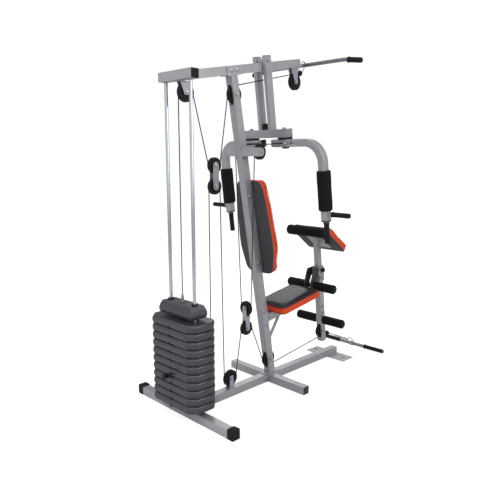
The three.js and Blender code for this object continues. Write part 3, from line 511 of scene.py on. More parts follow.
def octagon(half_x, half_y, corner, inset, groove=0.0022):
    """The plate's outline, with a fine groove where two of its sides meet."""
    x, y = half_x - inset, half_y - inset
    c = corner - inset * (2 - math.sqrt(2))
    corners = [(x, c - y), (x, y - c), (x - c, y), (c - x, y), (-x, y - c), (-x, c - y), (c - x, -y), (x - c, -y)]
    outline = []
    for i, corner_point in enumerate(corners):
        here = Vector(corner_point)
        before = (Vector(corners[i - 1]) - here).normalized() * groove
        after = (Vector(corners[(i + 1) % 8]) - here).normalized() * groove
        outline += [here + before, here + (before + after) * 1.1, here + after]
    return outline


def weight_plate(number):
    """A moulded plate whose sides swell out between a dark joint below and above."""
    node = f"weight_plate_{number:02d}"
    low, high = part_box(node)
    drawn = 0.0464
    tall = high.z - low.z
    profile = [(0.030, 0.0), (0.0125, 0.0), (0.0085, 0.0016), (0.0052, 0.0050), (0.0026, 0.0098), (0.0009, 0.0160),
               (0.0001, 0.0230), (0.0003, 0.0300), (0.0014, 0.0360), (0.0035, 0.0410), (0.0062, 0.0444),
               (0.0092, 0.0460), (0.0120, drawn), (0.030, drawn)]
    bm = bmesh.new()
    skin(bm, [[Vector((*p, z * tall / drawn)) for p in octagon(high.x, high.y - STACK_Y, 0.046, inset)]
              for inset, z in profile])
    body = "stack" if number <= 7 else "frame"
    place = Matrix.Translation((0, STACK_Y, low.z))
    plate = finish_piece(node + "_shell", bm, SHELL, body, place, sharp=38)
    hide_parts(node)
    # Painted shade: a black rubber disc at each pin hole stands in for the dark inside of the hole, which the shell
    # does not cut.
    bm = bmesh.new()
    add_lathe(bm, [(0, 0), (0.0078, 0), (0.0078, 0.004), (0.0055, 0.0046), (0, 0.0046)],
              on_y(0, -0.1018, 0.0072), 20, 0.0004)
    finish_piece(f"pin_hole_shade_{number:02d}", bm, "rubber", body, place)


for plate_number in range(1, 12):
    weight_plate(plate_number)


# ---- tube ends ----

def end_plug(name, matrix, side=TUBE, proud=0.003, body="frame", look="rubber"):
    """A moulded plug pressed into a square tube, its lip lying on the tube's end. Z points out of the tube."""
    bm = bmesh.new()
    lip = rectangle(side / 2 - 0.0005, side / 2 - 0.0005, 0.004)
    add_prism(bm, lip, 0.0002, proud, HERE, 0.001)
    core = rectangle(side / 2 - 0.0032, side / 2 - 0.0032, 0.002)
    add_prism(bm, core, -0.018, 0.0001, HERE, 0.0008)
    add_prism(bm, rectangle(side / 2 - 0.009, side / 2 - 0.009, 0.003), proud - 0.0003, proud + 0.0012, HERE, 0.0006)
    return finish_piece(name, bm, look, body, matrix)


def wrap_cap(name, side):
    """The boot that the rear stabilizer's end stands in."""
    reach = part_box("rear_stabilizer")[1].x
    bm = bmesh.new()
    outline = rectangle(0.0295, 0.028, 0.006, 5)
    inset = 0.004
    rings = []
    for z, grow in ((-0.038, -0.0012), (-0.0372, 0), (0.002, 0.0006), (0.0052, -0.0006), (0.0065, -inset)):
        rings.append([Vector((p.x * (1 + grow / 0.03), p.y * (1 + grow / 0.03), z)) for p in outline])
    skin(bm, rings)
    finish_piece(name, bm, "rubber", "frame", on_x(side * reach, STACK_Y, 0.0285, side=side))


for side, word in SIDES:
    wrap_cap(f"rear_boot_{word}", side)
    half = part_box("mid_stabilizer")[1].x
    end_plug(f"mid_plug_{word}", on_x(side * half, 0, HALF, side=side), look="board")
    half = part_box("rear_crossbar")[1].x
    end_plug(f"crossbar_plug_{word}", on_x(side * half, STACK_Y, CROSSBAR_Z, side=side))
    end_plug(f"press_plug_{word}", on_x(side * 0.178, 0, -CROSS_DROP, PRESS, side), body="press", look="grey_cap")
end_plug("beam_plug", on_y(0, 0.596, BEAM_Z, LEANING))
end_plug("seat_tube_plug", on_y(0, 0.460, 0, SEAT))
flip = Matrix.Rotation(math.pi, 4, "X")
end_plug("lever_plug", at(0, 0, -0.488, LEG) @ flip, 0.045, body="leg_lever")
end_plug("spine_plug", on_y(0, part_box("front_spine")[1].y - 0.006, HALF))


# ---- bolts ----

def add_bolt(bm, matrix, size):
    """A hexagon head on a washer, standing on the frame's XY plane."""
    base = 0.0016
    add_lathe(bm, [(0, 0), (size * 1.55, 0), (size * 1.55, base), (0, base)], matrix, 24, 0.0005)
    high = base + size * 0.72
    hexagon = circle(size * 1.12, 6)
    add_prism(bm, hexagon, base, high, matrix, size * 0.16)
    add_lathe(bm, [(0, high - 0.0006), (size * 0.72, high - 0.0006), (size * 0.66, high + 0.0006), (0, high + 0.0009)],
              matrix, 20, 0.0003)


def bolts(name, places, body="frame", size=0.0095):
    """One piece of several bolt heads."""
    bm = bmesh.new()
    for place in places:
        add_bolt(bm, place, size)
    finish_piece(name, bm, ZINC, body)


def through(y, z, half, matrix=HERE, x=0.0):
    """Both ends of a bolt that runs along X."""
    return [on_x(x + side * half, y, z, matrix, side) for side in (-1, 1)]


mast_bolts = []
for height in (0.402, 0.495, 0.835, 1.264):
    mast_bolts += through(0, height, HALF, LEANING)
for v in (-0.022, 0.020):
    mast_bolts += through(v, BEAM_Z, 0.030, LEANING)
bolts("mast_bolts", mast_bolts)
bolts("mast_axle_nuts", [m for z in (MAST_WHEEL_HIGH, MAST_WHEEL_LOW) for m in through(0, z, 0.028, LEANING)],
      size=0.0085)
bolts("spine_bolts", through(-0.036, HALF, HALF) + through(0.060, HALF, HALF)
      + through(-0.665, HALF, HALF))
bolts("fork_nuts", through(-0.347, 0.114, 0.017) + through(-0.6595, 1.822, 0.017)
      + through(*LAT_WHEEL, 0.017, LEANING), size=0.0075)
bolts("arm_wheel_nuts", [m for side in (-1, 1) for m in through(*ARM_WHEEL, 0.0152, HERE, side * ARM_WHEEL_X)],
      size=0.0075)
bolts("upper_block_nuts", through(-0.460, 1.433, 0.018) + through(-0.460, 1.312, 0.018), "upper_block", size=0.0075)
turn_y = [at(0, -0.204 + side * 0.018, 0.537) @ Matrix.Rotation(-side * math.pi / 2, 4, "X") for side in (-1, 1)]
bolts("lower_block_nuts", turn_y + through(-0.204, 0.408, 0.018), "lower_block", size=0.0075)
bolts("lever_wheel_nuts", through(-0.012, -0.411, 0.0222, LEG), "leg_lever", size=0.0075)
bolts("leg_pivot_nuts", through(0, 0, 0.0305, LEG), "frame", size=0.009)
bolts("bracket_bolts", through(0.430, 0.580, 0.0302) + through(0.421, 0.520, 0.0302)
      + through(0, 0.050, 0.0302, LEG)[:1], "frame", size=0.0075)
bolts("press_bolts", through(0, -0.414, 0.0527, PRESS) + through(0, 0, 0.0577, PRESS), "press", size=0.0085)
bolts("foot_bolts", [at(x, 0.690, 0.005) for x in (-0.130, 0.130)], "frame", size=0.0075)
bolts("seat_bolts", through(0.020, 0, HALF, SEAT) + through(0.400, 0, HALF, SEAT), "frame", size=0.0075)


# ---- weld beads ----

def weld(name, corners, body="frame", matrix=HERE, closed=True):
    """A rippled bead along a joint."""
    path = subdivided(list(corners) + ([corners[0]] if closed else []), 0.0022)
    if closed:
        path = path[:-1]
    bm = bmesh.new()
    rings = []
    for i, (here, side, across) in enumerate(carried(path, Vector((0.3, 0.4, 0.86)), closed)):
        swell = 0.0022 + 0.0005 * math.sin(i * 1.6)
        rings.append([here + (across * u + side * v) * swell for u, v in circle(1, 8)])
    skin(bm, rings, closed, caps=not closed)
    finish_piece(name, bm, SILVER, body, matrix)


weld("weld_mast_foot", [(x * HALF, 0.004 + y * 0.034, 0.0542) for x, y in SQUARE], matrix=at(0, 0.0125, 0))
weld("weld_seat_tube", [(x * HALF, y * HALF, 0.0025) for x, y in SQUARE], matrix=on_y(0, 0, 0, SEAT))
weld("weld_press_left", [(-0.0525, HALF, -0.407), (-0.0275, HALF, -0.407)], "press", PRESS, closed=False)
weld("weld_press_right", [(0.0275, HALF, -0.407), (0.0525, HALF, -0.407)], "press", PRESS, closed=False)


# ---- pulley wheels ----

def pulley(node, centre, r, axis=on_x):
    """A grooved nylon wheel of radius r, with a recessed web, a raised hub and a bearing."""
    body, matrix = node, axis(*centre)
    profile = [(0.0072, -0.0112), (0.0150, -0.0112), (0.0165, -0.0062), (r * 0.62, -0.0055), (r - 0.0125, -0.0095),
               (r - 0.0006, -0.0100), (r, -0.0078), (r - 0.0075, -0.0032), (r - 0.0082, 0.0),
               (r - 0.0075, 0.0032), (r, 0.0078), (r - 0.0006, 0.0100), (r - 0.0125, 0.0095), (r * 0.62, 0.0055),
               (0.0165, 0.0062), (0.0150, 0.0112), (0.0072, 0.0112)]
    bm = bmesh.new()
    add_lathe(bm, profile, HERE, 56, 0.0014, closed=True)
    wheel = finish_piece(node + "_rim", bm, NYLON, body, matrix)
    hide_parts(node)
    bm = bmesh.new()
    for side in (-1, 1):
        ring = [(0.0068, 0.0102), (0.0135, 0.0102), (0.0135, 0.0118), (0.0068, 0.0118)]
        add_lathe(bm, [(a, side * b) for a, b in ring], HERE, 32, 0.0004, closed=True)
    finish_piece(node + "_bearing", bm, ZINC, body, matrix)
    bm = bmesh.new()
    for side in (-1, 1):
        for i in range(6):
            turn = Matrix.Rotation(i * math.pi / 3, 4, "Z")
            rib = [(0.0155, -0.0011), (r * 0.72, -0.0011), (r * 0.72, 0.0011), (0.0155, 0.0011)]
            low, high = sorted((side * 0.0050, side * 0.0086))
            add_prism(bm, [Vector(p) for p in rib], low, high, turn, 0.0004)
    finish_piece(node + "_ribs", bm, NYLON, body, matrix)


mast_top = LEANING @ Vector((0, 0, MAST_WHEEL_HIGH))
mast_bottom = LEANING @ Vector((0, 0, MAST_WHEEL_LOW))
lat_place = LEANING @ Vector((0, *LAT_WHEEL))
lever_place = LEG @ Vector((0, -0.012, -0.411))
rear_place = Vector((0, STACK_Y + BIG_RUN, 1.822))
base_place = Vector((0, -0.347, 0.114))
upper_high, upper_low = Vector((0, -0.460, 1.433)), Vector((0, -0.460, 1.312))
lower_high, lower_low = Vector((0, -0.204, 0.537)), Vector((0, -0.204, 0.408))
for node, centre in (("mast_top_wheel", mast_top), ("mast_bottom_wheel", mast_bottom), ("lat_wheel", lat_place),
                     ("rear_top_wheel", rear_place), ("base_wheel", base_place)):
    pulley(node, centre, BIG_WHEEL)
for node, centre in (("arm_wheel_left", (-ARM_WHEEL_X, *ARM_WHEEL)), ("arm_wheel_right", (ARM_WHEEL_X, *ARM_WHEEL)),
                     ("floating_wheel_1", upper_high), ("floating_wheel_2", upper_low),
                     ("floating_wheel_4", lower_low), ("lever_wheel", lever_place)):
    pulley(node, centre, SMALL_WHEEL)
pulley("floating_wheel_3", lower_high, SMALL_WHEEL, on_y)


# ---- guide rods, rubber donuts, stem and pin ----

rod_low, rod_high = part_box("guide_rod_right")
for side, word in SIDES:
    place = at(side * ROD_X, STACK_Y, 0)
    rod = [(0, rod_low.z), (0.010, rod_low.z), (0.010, rod_high.z), (0, rod_high.z)]
    rod = lathe(f"guide_rod_{word}_bright", rod, CHROME, "frame", place, 40, 0.0008)
    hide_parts(f"guide_rod_{word}")
    lathe(f"stack_donut_{word}", [(0.0104, 0.0505), (0.030, 0.0505, 0.006), (0.030, 0.0755, 0.006), (0.0104, 0.0755)],
          "rubber", "frame", place, 40, 0.002, closed=True)
    bush = [(0.0104, 0.668), (0.0185, 0.668), (0.0185, 0.676), (0.0165, 0.681), (0.0104, 0.681)]
    lathe(f"selector_bush_{word}", bush, NYLON, "stack", place, 32, 0.001, closed=True)

pin_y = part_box("selector_pin")[0].y
pin_z = (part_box("selector_pin")[0].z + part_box("selector_pin")[1].z) / 2
grip = [(0, -0.002), (0.0135, -0.002), (0.0165, 0.004), (0.0150, 0.014), (0.0118, 0.021), (0.0118, 0.027),
        (0.0150, 0.031), (0.0150, 0.0345), (0, 0.0345)]
pin = lathe("selector_pin_grip", grip, PLASTIC, "pin", on_y(0, pin_y, pin_z), 40, 0.0025)
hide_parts("selector_pin")
lathe("selector_pin_shank", [(0, 0.030), (0.0045, 0.030), (0.0045, 0.152), (0.002, 0.158), (0, 0.158)], CHROME, "pin",
      on_y(0, pin_y, pin_z), 24, 0.0006)
eye_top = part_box("selector_block")[1].z
lathe("stem_nut", [(0, 0.672), (0.016, 0.672), (0.016, 0.684), (0.0085, 0.686), (0, 0.686)], ZINC, "stack",
      at(0, STACK_Y, 0), 6, 0.001)
lathe("stem_ferrule", [(0, eye_top - 0.030), (0.0085, eye_top - 0.030), (0.0085, eye_top - 0.004),
                       (0.0045, eye_top + 0.008), (0, eye_top + 0.008)], ZINC, "stack", at(0, STACK_Y, 0), 24, 0.001)


# ---- cables ----

def taut(stops):
    """The straight spans and the wraps of a taut cable in the plane X = 0.
    A stop is (y, z, run, turn): run is 0 at an end, and turn is 1 anticlockwise or -1 clockwise."""
    headings = []
    for (a, b, r, t), (c, d, s, u) in zip(stops, stops[1:]):
        headings.append(math.atan2(d - b, c - a) - math.asin((s * u - r * t) / math.hypot(c - a, d - b)))
    wraps = []
    for i, (a, b, r, t) in enumerate(stops[1:-1], 1):
        angle = (t * (headings[i] - headings[i - 1])) % (2 * math.pi)
        steps = max(2, math.ceil(math.degrees(angle) / 8))
        wraps.append([(a + t * r * math.sin(headings[i - 1] + t * angle * k / steps),
                       b - t * r * math.cos(headings[i - 1] + t * angle * k / steps)) for k in range(steps + 1)])
    ends = [[stops[0][:2]]] + wraps + [[stops[-1][:2]]]
    spans = [(ends[i][-1], ends[i + 1][0]) for i in range(len(ends) - 1)]
    return spans, wraps


def rope(name, points, first, last=None):
    """One stretch of cable, on one body or blended from one to another."""
    path = subdivided(points, 0.02)
    piece = sweep(name, path, circle(CABLE_RADIUS, 10), CABLE, None if last else first, up=(1, 0.01, 0.02), caps=True)
    if last:
        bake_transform(piece)
    return piece


def in_plane(points):
    return [Vector((0, y, z)) for y, z in points]


def cable(name, node, stops, carriers):
    """Every stretch of one cable. carriers names the body that holds each stop."""
    spans, wraps = taut(stops)
    for i, span in enumerate(spans):
        first, last = carriers[i], carriers[i + 1]
        rope(f"{name}_span_{i + 1}", in_plane(span), first, last if last != first else None)
    for i, wrap in enumerate(wraps):
        rope(f"{name}_wrap_{i + 1}", in_plane(wrap), carriers[i + 1])
    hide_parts(node)


def stop(place, run, turn):
    return (place.y, place.z, run, turn)


LAT_END = Vector((0, 0.276, 2.012))
LOW_END = Vector((0, 0.640, 0.176))
cable("lat_cable", "cable_lat", [
    stop(Vector((0, STACK_Y, eye_top)), 0, 0), stop(rear_place, BIG_RUN, -1), stop(upper_high, SMALL_RUN, 1),
    stop(mast_top, BIG_RUN, -1), stop(lat_place, BIG_RUN, -1), stop(LAT_END, 0, 0),
], ["stack", "frame", "upper_block", "frame", "frame", "frame"])
anchor_z = 0.0803
cable("low_cable", "cable_low", [
    stop(Vector((0, -0.500, anchor_z)), 0, 0), stop(upper_low, SMALL_RUN, -1), stop(base_place, BIG_RUN, 1),
    stop(lower_low, SMALL_RUN, -1), stop(mast_bottom, BIG_RUN, 1), stop(lever_place, SMALL_RUN, 1),
    stop(LOW_END, 0, 0),
], ["frame", "upper_block", "frame", "lower_block", "frame", "leg_lever", "leg_lever"])

for side, word in SIDES:
    x = side * ARM_WHEEL_X
    start = PRESS @ Vector((side * 0.174, -0.0315, -ARM_DROP))
    spans, wraps = taut([stop(start, 0, 0), (*ARM_WHEEL, SMALL_RUN, 1),
                         stop(lower_high + Vector((0, 0, 0.006)), 0, 0)])
    arc = [Vector((x, y, z)) for y, z in wraps[0]]
    away = (Vector((x, *spans[0][0])) - arc[0]).normalized()
    leaving = arc[0] + away * 0.026
    middle = leaving.lerp(start, 0.45)
    lead = rope(f"arm_cable_lead_{word}", [leaving, middle], "frame", "press")
    rope(f"arm_cable_tip_{word}", [middle, start], "press", f"arm_{word}")
    rope(f"arm_cable_wrap_{word}", [leaving] + arc, "frame")
    low = Vector((side * SMALL_RUN, lower_high.y, lower_high.z))
    rope(f"arm_cable_drop_{word}", [arc[-1], low], "frame", "lower_block")
    ferrule = [(0, -0.004), (0.0058, -0.004), (0.0058, 0.016), (0.004, 0.020), (0, 0.020)]
    lathe(f"arm_cable_ferrule_{word}", ferrule, ZINC, f"arm_{word}", at(*start) @ toward_z(middle - start), 20, 0.0008)
    if side > 0:
        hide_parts("cable_arms")
under = [Vector((SMALL_RUN * math.cos(a), lower_high.y, lower_high.z + SMALL_RUN * math.sin(a)))
         for a in (-math.pi * k / 24 for k in range(25))]
rope("arm_cable_under", under, "lower_block")


def hidden_tail(name, place):
    """Cable that is paid out when a bar is pulled. At rest it is folded away inside the stopper."""
    path = [place + Vector((0, 0.002 * min(k, 3), -0.003 * k / 24)) for k in range(25)]
    piece = sweep(name, path, circle(CABLE_RADIUS * 0.98, 10), CABLE, None, up=(1, 0, 0))
    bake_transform(piece)


hidden_tail("lat_cable_tail", LAT_END)
hidden_tail("low_cable_tail", LOW_END)


# ---- stoppers, clips and chain ----

def ball(name, centre, radius, body, direction):
    """A rubber stopper with a sleeve at each end."""
    r = radius
    profile = [(0, -r * 1.15), (r * 0.42, -r * 1.15), (r * 0.46, -r * 0.88)]
    profile += [(r * math.cos(a), r * math.sin(a)) for a in (math.radians(d) for d in range(-60, 61, 12))]
    profile += [(r * 0.46, r * 0.88), (r * 0.42, r * 1.15), (0, r * 1.15)]
    lathe(name, profile, "rubber", body, at(*centre) @ toward_z(direction.normalized()), 32, 0.0008)


def links(name, matrices, length, width, wire, body):
    """Closed links of round wire, each in its frame's XZ plane and long along Z."""
    r = width / 2
    bm = bmesh.new()
    for matrix in matrices:
        points = [matrix @ Vector((end * r * math.cos(a), 0, end * (length / 2 - r + r * math.sin(a))))
                  for end in (1, -1) for a in (math.pi * k / 12 for k in range(13))]
        normal = (matrix.to_3x3() @ Vector((0, 1, 0))).normalized()
        add_sweep(bm, points, circle(wire, 8), normal, closed=True)
    return finish_piece(name, bm, ZINC, body)


def chain(name, start, end, body, pitch=0.0205):
    """Welded links from start to end, each turned a quarter from the last."""
    run = end - start
    count = max(2, round(run.length / pitch))
    matrices = [at(*(start + run * ((i + 0.5) / count))) @ toward_z(run.normalized())
                @ Matrix.Rotation(math.pi / 2 * (i % 2) + 0.35, 4, "Z") for i in range(count)]
    return links(name, matrices, run.length / count * 1.32, 0.0155, 0.0021, body)


lat_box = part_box("lat_bar")
LAT_BAR = Vector((0, (lat_box[0].y + lat_box[1].y) / 2, lat_box[1].z - 0.0125))
ball("lat_stopper", LAT_END + Vector((0, 0.008, 0.004)), 0.019, "lat_bar", Vector((0, 1, 0.5)))
link_centre = (LAT_END + Vector((0, 0.018, 0.006)) + LAT_BAR + Vector((0, 0, 0.013))) / 2
lean = toward_z((LAT_BAR - LAT_END + Vector((0, 0, 0.010))).normalized())
quarter = Matrix.Rotation(math.pi / 2, 4, "Z")
links("lat_carabiner", [at(*link_centre) @ lean @ quarter], 0.098, 0.040, 0.0038, "lat_bar")
low_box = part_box("low_bar")
LOW_BAR = (low_box[0] + low_box[1]) / 2
ball("low_stopper", LOW_END + Vector((0, 0.006, 0)), 0.019, "leg_lever", Vector((0, 1, -0.1)))
clip_top = LOW_END + Vector((0, 0.030, -0.006))
eye = LOW_BAR + Vector((0.0, -0.006, 0.020))
toward = (eye - clip_top).normalized()
clip_low = clip_top + toward * 0.070
chain_low = eye - toward * 0.060
lean = toward_z(toward)
low_parts = [
    links("low_clip_upper", [at(*((clip_top + clip_low) / 2)) @ lean], 0.078, 0.030, 0.0034, None),
    chain("low_chain", clip_low, chain_low, None),
    links("low_clip_lower", [at(*((chain_low + eye) / 2)) @ lean @ quarter], 0.072, 0.030, 0.0034, None),
]
for part in low_parts:
    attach(part, "low_bar")
    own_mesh(part)


# ---- pull bars ----

def rubber_grip(name, matrix, length, radius, body, bore=0.0125):
    """A moulded hand grip that starts at the frame's origin and runs along Z."""
    profile = [(bore + 0.0002, 0), (radius + 0.0022, 0), (radius + 0.0022, 0.005), (radius, 0.008)]
    count = max(6, int(length / 0.011))
    for i in range(count):
        z = 0.012 + (length - 0.026) * i / count
        step = (length - 0.026) / count
        profile += [(radius, z, 0.0003), (radius - 0.0008, z + step * 0.35, 0.0003), (radius, z + step * 0.7, 0.0003)]
    profile += [(radius, length - 0.008), (radius - 0.002, length - 0.001), (0, length + 0.0012)]
    bm = bmesh.new()
    add_lathe(bm, [(0, 0.0005)] + profile, HERE, 36, 0.0008)
    finish_piece(name, bm, "rubber", body, matrix, sharp=48)


half_bar = [Vector((0.330, LAT_BAR.y, LAT_BAR.z)), Vector((0.452, LAT_BAR.y, LAT_BAR.z - 0.018))]
curve = [Vector((0.306, LAT_BAR.y, LAT_BAR.z))]
for k in range(1, 8):
    t = k / 8
    a, b, c = curve[0], half_bar[0], half_bar[0].lerp(half_bar[1], 0.22)
    curve.append(a * (1 - t) ** 2 + b * (2 * t * (1 - t)) + c * t ** 2)
curve += [half_bar[0].lerp(half_bar[1], 0.22), half_bar[1]]
bar_path = [Vector((-p.x, p.y, p.z)) for p in reversed(curve)] + curve
bar = sweep("lat_bar_tube", subdivided(bar_path, 0.05), circle(0.0122, 28), "steel", "lat_bar", up=(0, 1, 0),
            slot=CHROME)
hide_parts("lat_bar")
for side, word in SIDES:
    tip = Vector((side * half_bar[1].x, half_bar[1].y, half_bar[1].z))
    bend = Vector((side * half_bar[0].x, half_bar[0].y, half_bar[0].z))
    along_tip = (tip - bend).normalized()
    rubber_grip(f"lat_grip_{word}", at(*(tip - along_tip * 0.096)) @ toward_z(along_tip), 0.098, 0.0162, "lat_bar")
    half = low_box[1].x
    place = on_x(side * (half - 0.168), LOW_BAR.y, LOW_BAR.z, side=side)
    rubber_grip(f"low_grip_{word}", place, 0.168, 0.0152, "low_bar")
low_profile = [(0, -half), (0.0120, -half), (0.0120, half), (0, half)]
low = lathe("low_bar_tube", low_profile, "steel", "low_bar", on_x(0, LOW_BAR.y, LOW_BAR.z), 32, 0.001, slot=CHROME)
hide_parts("low_bar")
swivel = [(0.0124, -0.011), (0.0185, -0.011), (0.0185, 0.011), (0.0124, 0.011)]
lathe("low_bar_swivel", swivel, ZINC, "low_bar", on_x(0, LOW_BAR.y, LOW_BAR.z), 32, 0.0015, closed=True)


# ---- butterfly arms ----

def arm_path(side):
    points = [Vector((side * 0.044, 0, -ARM_DROP))]
    for k in range(25):
        a = math.pi / 2 * k / 24
        points.append(Vector((side * (ARM_OUTER_X - ARM_BEND + ARM_BEND * math.sin(a)), 0,
                              -ARM_DROP - ARM_BEND + ARM_BEND * math.cos(a))))
    points.append(Vector((side * ARM_OUTER_X, 0, -ARM_END)))
    return points


def foam_sleeve(name, node, matrix, low, high, radius, core, body, square=False):
    """A foam roller: rounded ends, and a skin that is gently uneven where it has been gripped."""
    sides, length = 48, high - low
    stations = []
    for k in range(7):
        a = math.pi / 2 * k / 6
        stations.append((low + 0.010 - 0.010 * math.cos(a), radius - 0.010 + 0.010 * math.sin(a)))
    stations += [(low + 0.012 + (length - 0.024) * k / 22, radius) for k in range(1, 22)]
    stations += [(low + high - z, r) for z, r in reversed(stations[:7])]
    rings = []
    for z, r in stations:
        ring = []
        for i in range(sides):
            a = 2 * math.pi * i / sides
            uneven = noise.noise(Vector((math.cos(a) * 1.6, math.sin(a) * 1.6, z * 22))) * 0.0011
            ring.append(Vector(((r + uneven) * math.cos(a), (r + uneven) * math.sin(a), z)))
        rings.append(ring)
    bore = []
    outline = circle(core, sides)
    if square:
        outline = sorted(rectangle(core, core, 0.004, 11), key=lambda p: math.atan2(p.y, p.x) % (2 * math.pi))
    for z in (high - 0.0015, low + 0.0015):
        bore.append([Vector((p.x, p.y, z)) for p in outline])
    bm = bmesh.new()
    skin(bm, rings + bore, closed=True)
    piece = finish_piece(name, bm, FOAM, body, matrix, sharp=50)
    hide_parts(node)


def cam(side, word, body):
    """The swollen back of the arm's inner end, with a slot that the cable runs in to its anchor."""
    bow = [Vector((0.046 + 0.194 * t / 16, -ARM_SIDE / 2 - 0.0135 * math.sin(math.pi * t / 16) ** 0.8))
           for t in range(17)]
    flat = [Vector((0.240, -ARM_SIDE / 2 + 0.002)), Vector((0.046, -ARM_SIDE / 2 + 0.002))]
    place = PRESS @ Matrix.Translation((0, 0, -ARM_DROP)) @ Matrix.Diagonal((side, 1, 1, 1))
    bm = bmesh.new()
    for low, high in ((-0.0224, -0.0048), (0.0048, 0.0224)):
        add_prism(bm, bow + flat, low, high, HERE, 0.0012)
    finish_piece(f"arm_cam_{word}", bm, SILVER, body, place, sharp=40)
    bm = bmesh.new()
    deep = [Vector((min(p.x + 0.002, 0.198), max(p.y * 0.35 - 0.0155, p.y + 0.001))) for p in bow[:14]]
    add_prism(bm, deep + [Vector((0.198, flat[0].y)), flat[1] + Vector((0.002, 0))], -0.0050, 0.0050, HERE, 0.0002)
    finish_piece(f"arm_slot_{word}", bm, "rubber", body, place)
    heads = [at(x, -ARM_SIDE / 2 - proud, z, place) @ Matrix.Rotation(math.pi / 2, 4, "X")
             for x, proud, z in ((0.058, 0.0045, -0.0135), (0.058, 0.0045, 0.0135), (0.212, 0.0065, 0.0130))]
    bolts(f"arm_cam_bolts_{word}", heads, body, size=0.0048)
    anchor = [(0, 0), (0.0056, 0), (0.0056, 0.018), (0.0042, 0.022), (0, 0.022)]
    lathe(f"cable_lug_{word}", anchor, ZINC, body, on_x(0.182, -ARM_SIDE / 2 - 0.0105, 0, place), 24, 0.001)


for side, word in SIDES:
    body = f"arm_{word}"
    arm = sweep(f"arm_tube_{word}", arm_path(side), square_section(ARM_SIDE), SILVER, body, PRESS, up=(0, 1, 0))
    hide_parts(f"arm_{word}")
    end_plug(f"arm_inner_plug_{word}", on_x(side * 0.044, 0, -ARM_DROP, PRESS, -side), ARM_SIDE, body=body)
    end_plug(f"arm_lower_plug_{word}", at(side * ARM_OUTER_X, 0, -ARM_END, PRESS) @ flip, ARM_SIDE, 0.009, body)
    foam_sleeve(f"arm_foam_{word}_soft", f"arm_foam_{word}", at(side * ARM_OUTER_X, 0, 0, PRESS),
                -0.893, -0.655, 0.042, 0.0228, body, square=True)
    place = on_x(side * (ARM_OUTER_X + ARM_SIDE / 2 - 0.002), 0, -0.914, PRESS, side)
    lathe(f"side_handle_{word}", [(0, 0), (0.011, 0), (0.011, 0.146), (0, 0.146)], SILVER, body, place, 28, 0.001)
    rubber_grip(f"side_grip_{word}", at(0, 0, 0.026, place), 0.124, 0.0148, body, bore=0.011)
    place = at(side * ARM_OUTER_X, 0, -ARM_END - 0.0095, PRESS) @ flip
    lathe(f"lower_handle_{word}", [(0, 0), (0.011, 0), (0.011, 0.130), (0, 0.130)], SILVER, body, place, 28, 0.001)
    rubber_grip(f"lower_grip_{word}", at(0, 0, 0.006, place), 0.128, 0.0165, body, bore=0.011)
    cam(side, word, body)
    pivot = at(side * ARM_PIVOT_X, 0, 0, PRESS)
    bolts(f"arm_pivot_bolt_{word}", [at(0, 0, -CROSS_DROP + 0.0252, pivot)], "press", size=0.0105)
    bush = [(0.0105, -0.4685), (0.046, -0.4685, 0.003), (0.046, -0.4577, 0.003), (0.0105, -0.4577)]
    lathe(f"arm_bush_{word}", bush, "rubber", "press", pivot, 40, 0.001, closed=True)
    bush = [(0.0105, -0.5240), (0.022, -0.5240), (0.022, -0.5140), (0.0105, -0.5140)]
    lathe(f"arm_low_bush_{word}", bush, "rubber", "press", pivot, 32, 0.001, closed=True)
    prism(f"upright_plug_{word}", rectangle(0.0123, 0.0248, 0.003), -0.006, 0.0028, "rubber", "press",
          at(side * 0.040, 0, 0.0242, PRESS), 0.001)

bm = bmesh.new()
add_prism(bm, rectangle(0.024, 0.020, 0.006), -0.4065, -0.3880, HERE, 0.002)
add_prism(bm, rectangle(0.021, 0.017, 0.006), -0.3878, -0.3700, HERE, 0.002)
finish_piece("press_bumper", bm, "rubber", "press", PRESS)


# ---- leg developer and rollers ----

def roller_end(name, matrix, body, radius=0.0165):
    """The domed plug in the end of a roller shaft, with its washer."""
    profile = [(0, 0), (radius + 0.006, 0), (radius + 0.006, 0.0022), (radius - 0.003, 0.0034),
               (radius - 0.005, 0.0060), (0, 0.0072)]
    lathe(name, profile, PLASTIC, body, matrix, 32, 0.0008)


for node, body in (("knee_foam", "frame"), ("ankle_foam", "leg_lever")):
    low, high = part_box(f"{node}_right")
    middle = (low + high) / 2
    for side, word in SIDES:
        place = on_x(0, middle.y, middle.z, side=side)
        foam_sleeve(f"{node}_{word}_soft", f"{node}_{word}", place, low.x, high.x, 0.0315, 0.0122, body)
        roller_end(f"{node}_{word}_end", at(0, 0, high.x + 0.0002, place), body)

low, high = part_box("curl_roller")
middle = (low + high) / 2
foam_sleeve("curl_roller_soft", "curl_roller", on_x(0, middle.y, middle.z), low.x, high.x, 0.0345, 0.0085,
            "curl_rest")
for side, word in SIDES:
    place = on_x(side * (high.x + 0.0004), middle.y, middle.z, side=side)
    roller_end(f"curl_roller_{word}_end", place, "curl_rest", 0.012)

low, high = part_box("lock_knob")
middle = (low + high) / 2
bm = bmesh.new()
lobes = []
for i in range(72):
    a = 2 * math.pi * i / 72
    r = 0.0158 + 0.0017 * math.cos(6 * a)
    lobes.append(Vector((r * math.cos(a), r * math.sin(a))))
add_prism(bm, lobes, 0.036, 0.052, HERE, 0.0022)
add_lathe(bm, [(0, 0.031), (0.0085, 0.031), (0.0095, 0.0362), (0, 0.0362)], HERE, 24, 0.0006)
knob = finish_piece("lock_knob_grip", bm, PLASTIC, "lock_knob", on_x(0, middle.y, middle.z), sharp=40)
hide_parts("lock_knob")


# ---- pads ----

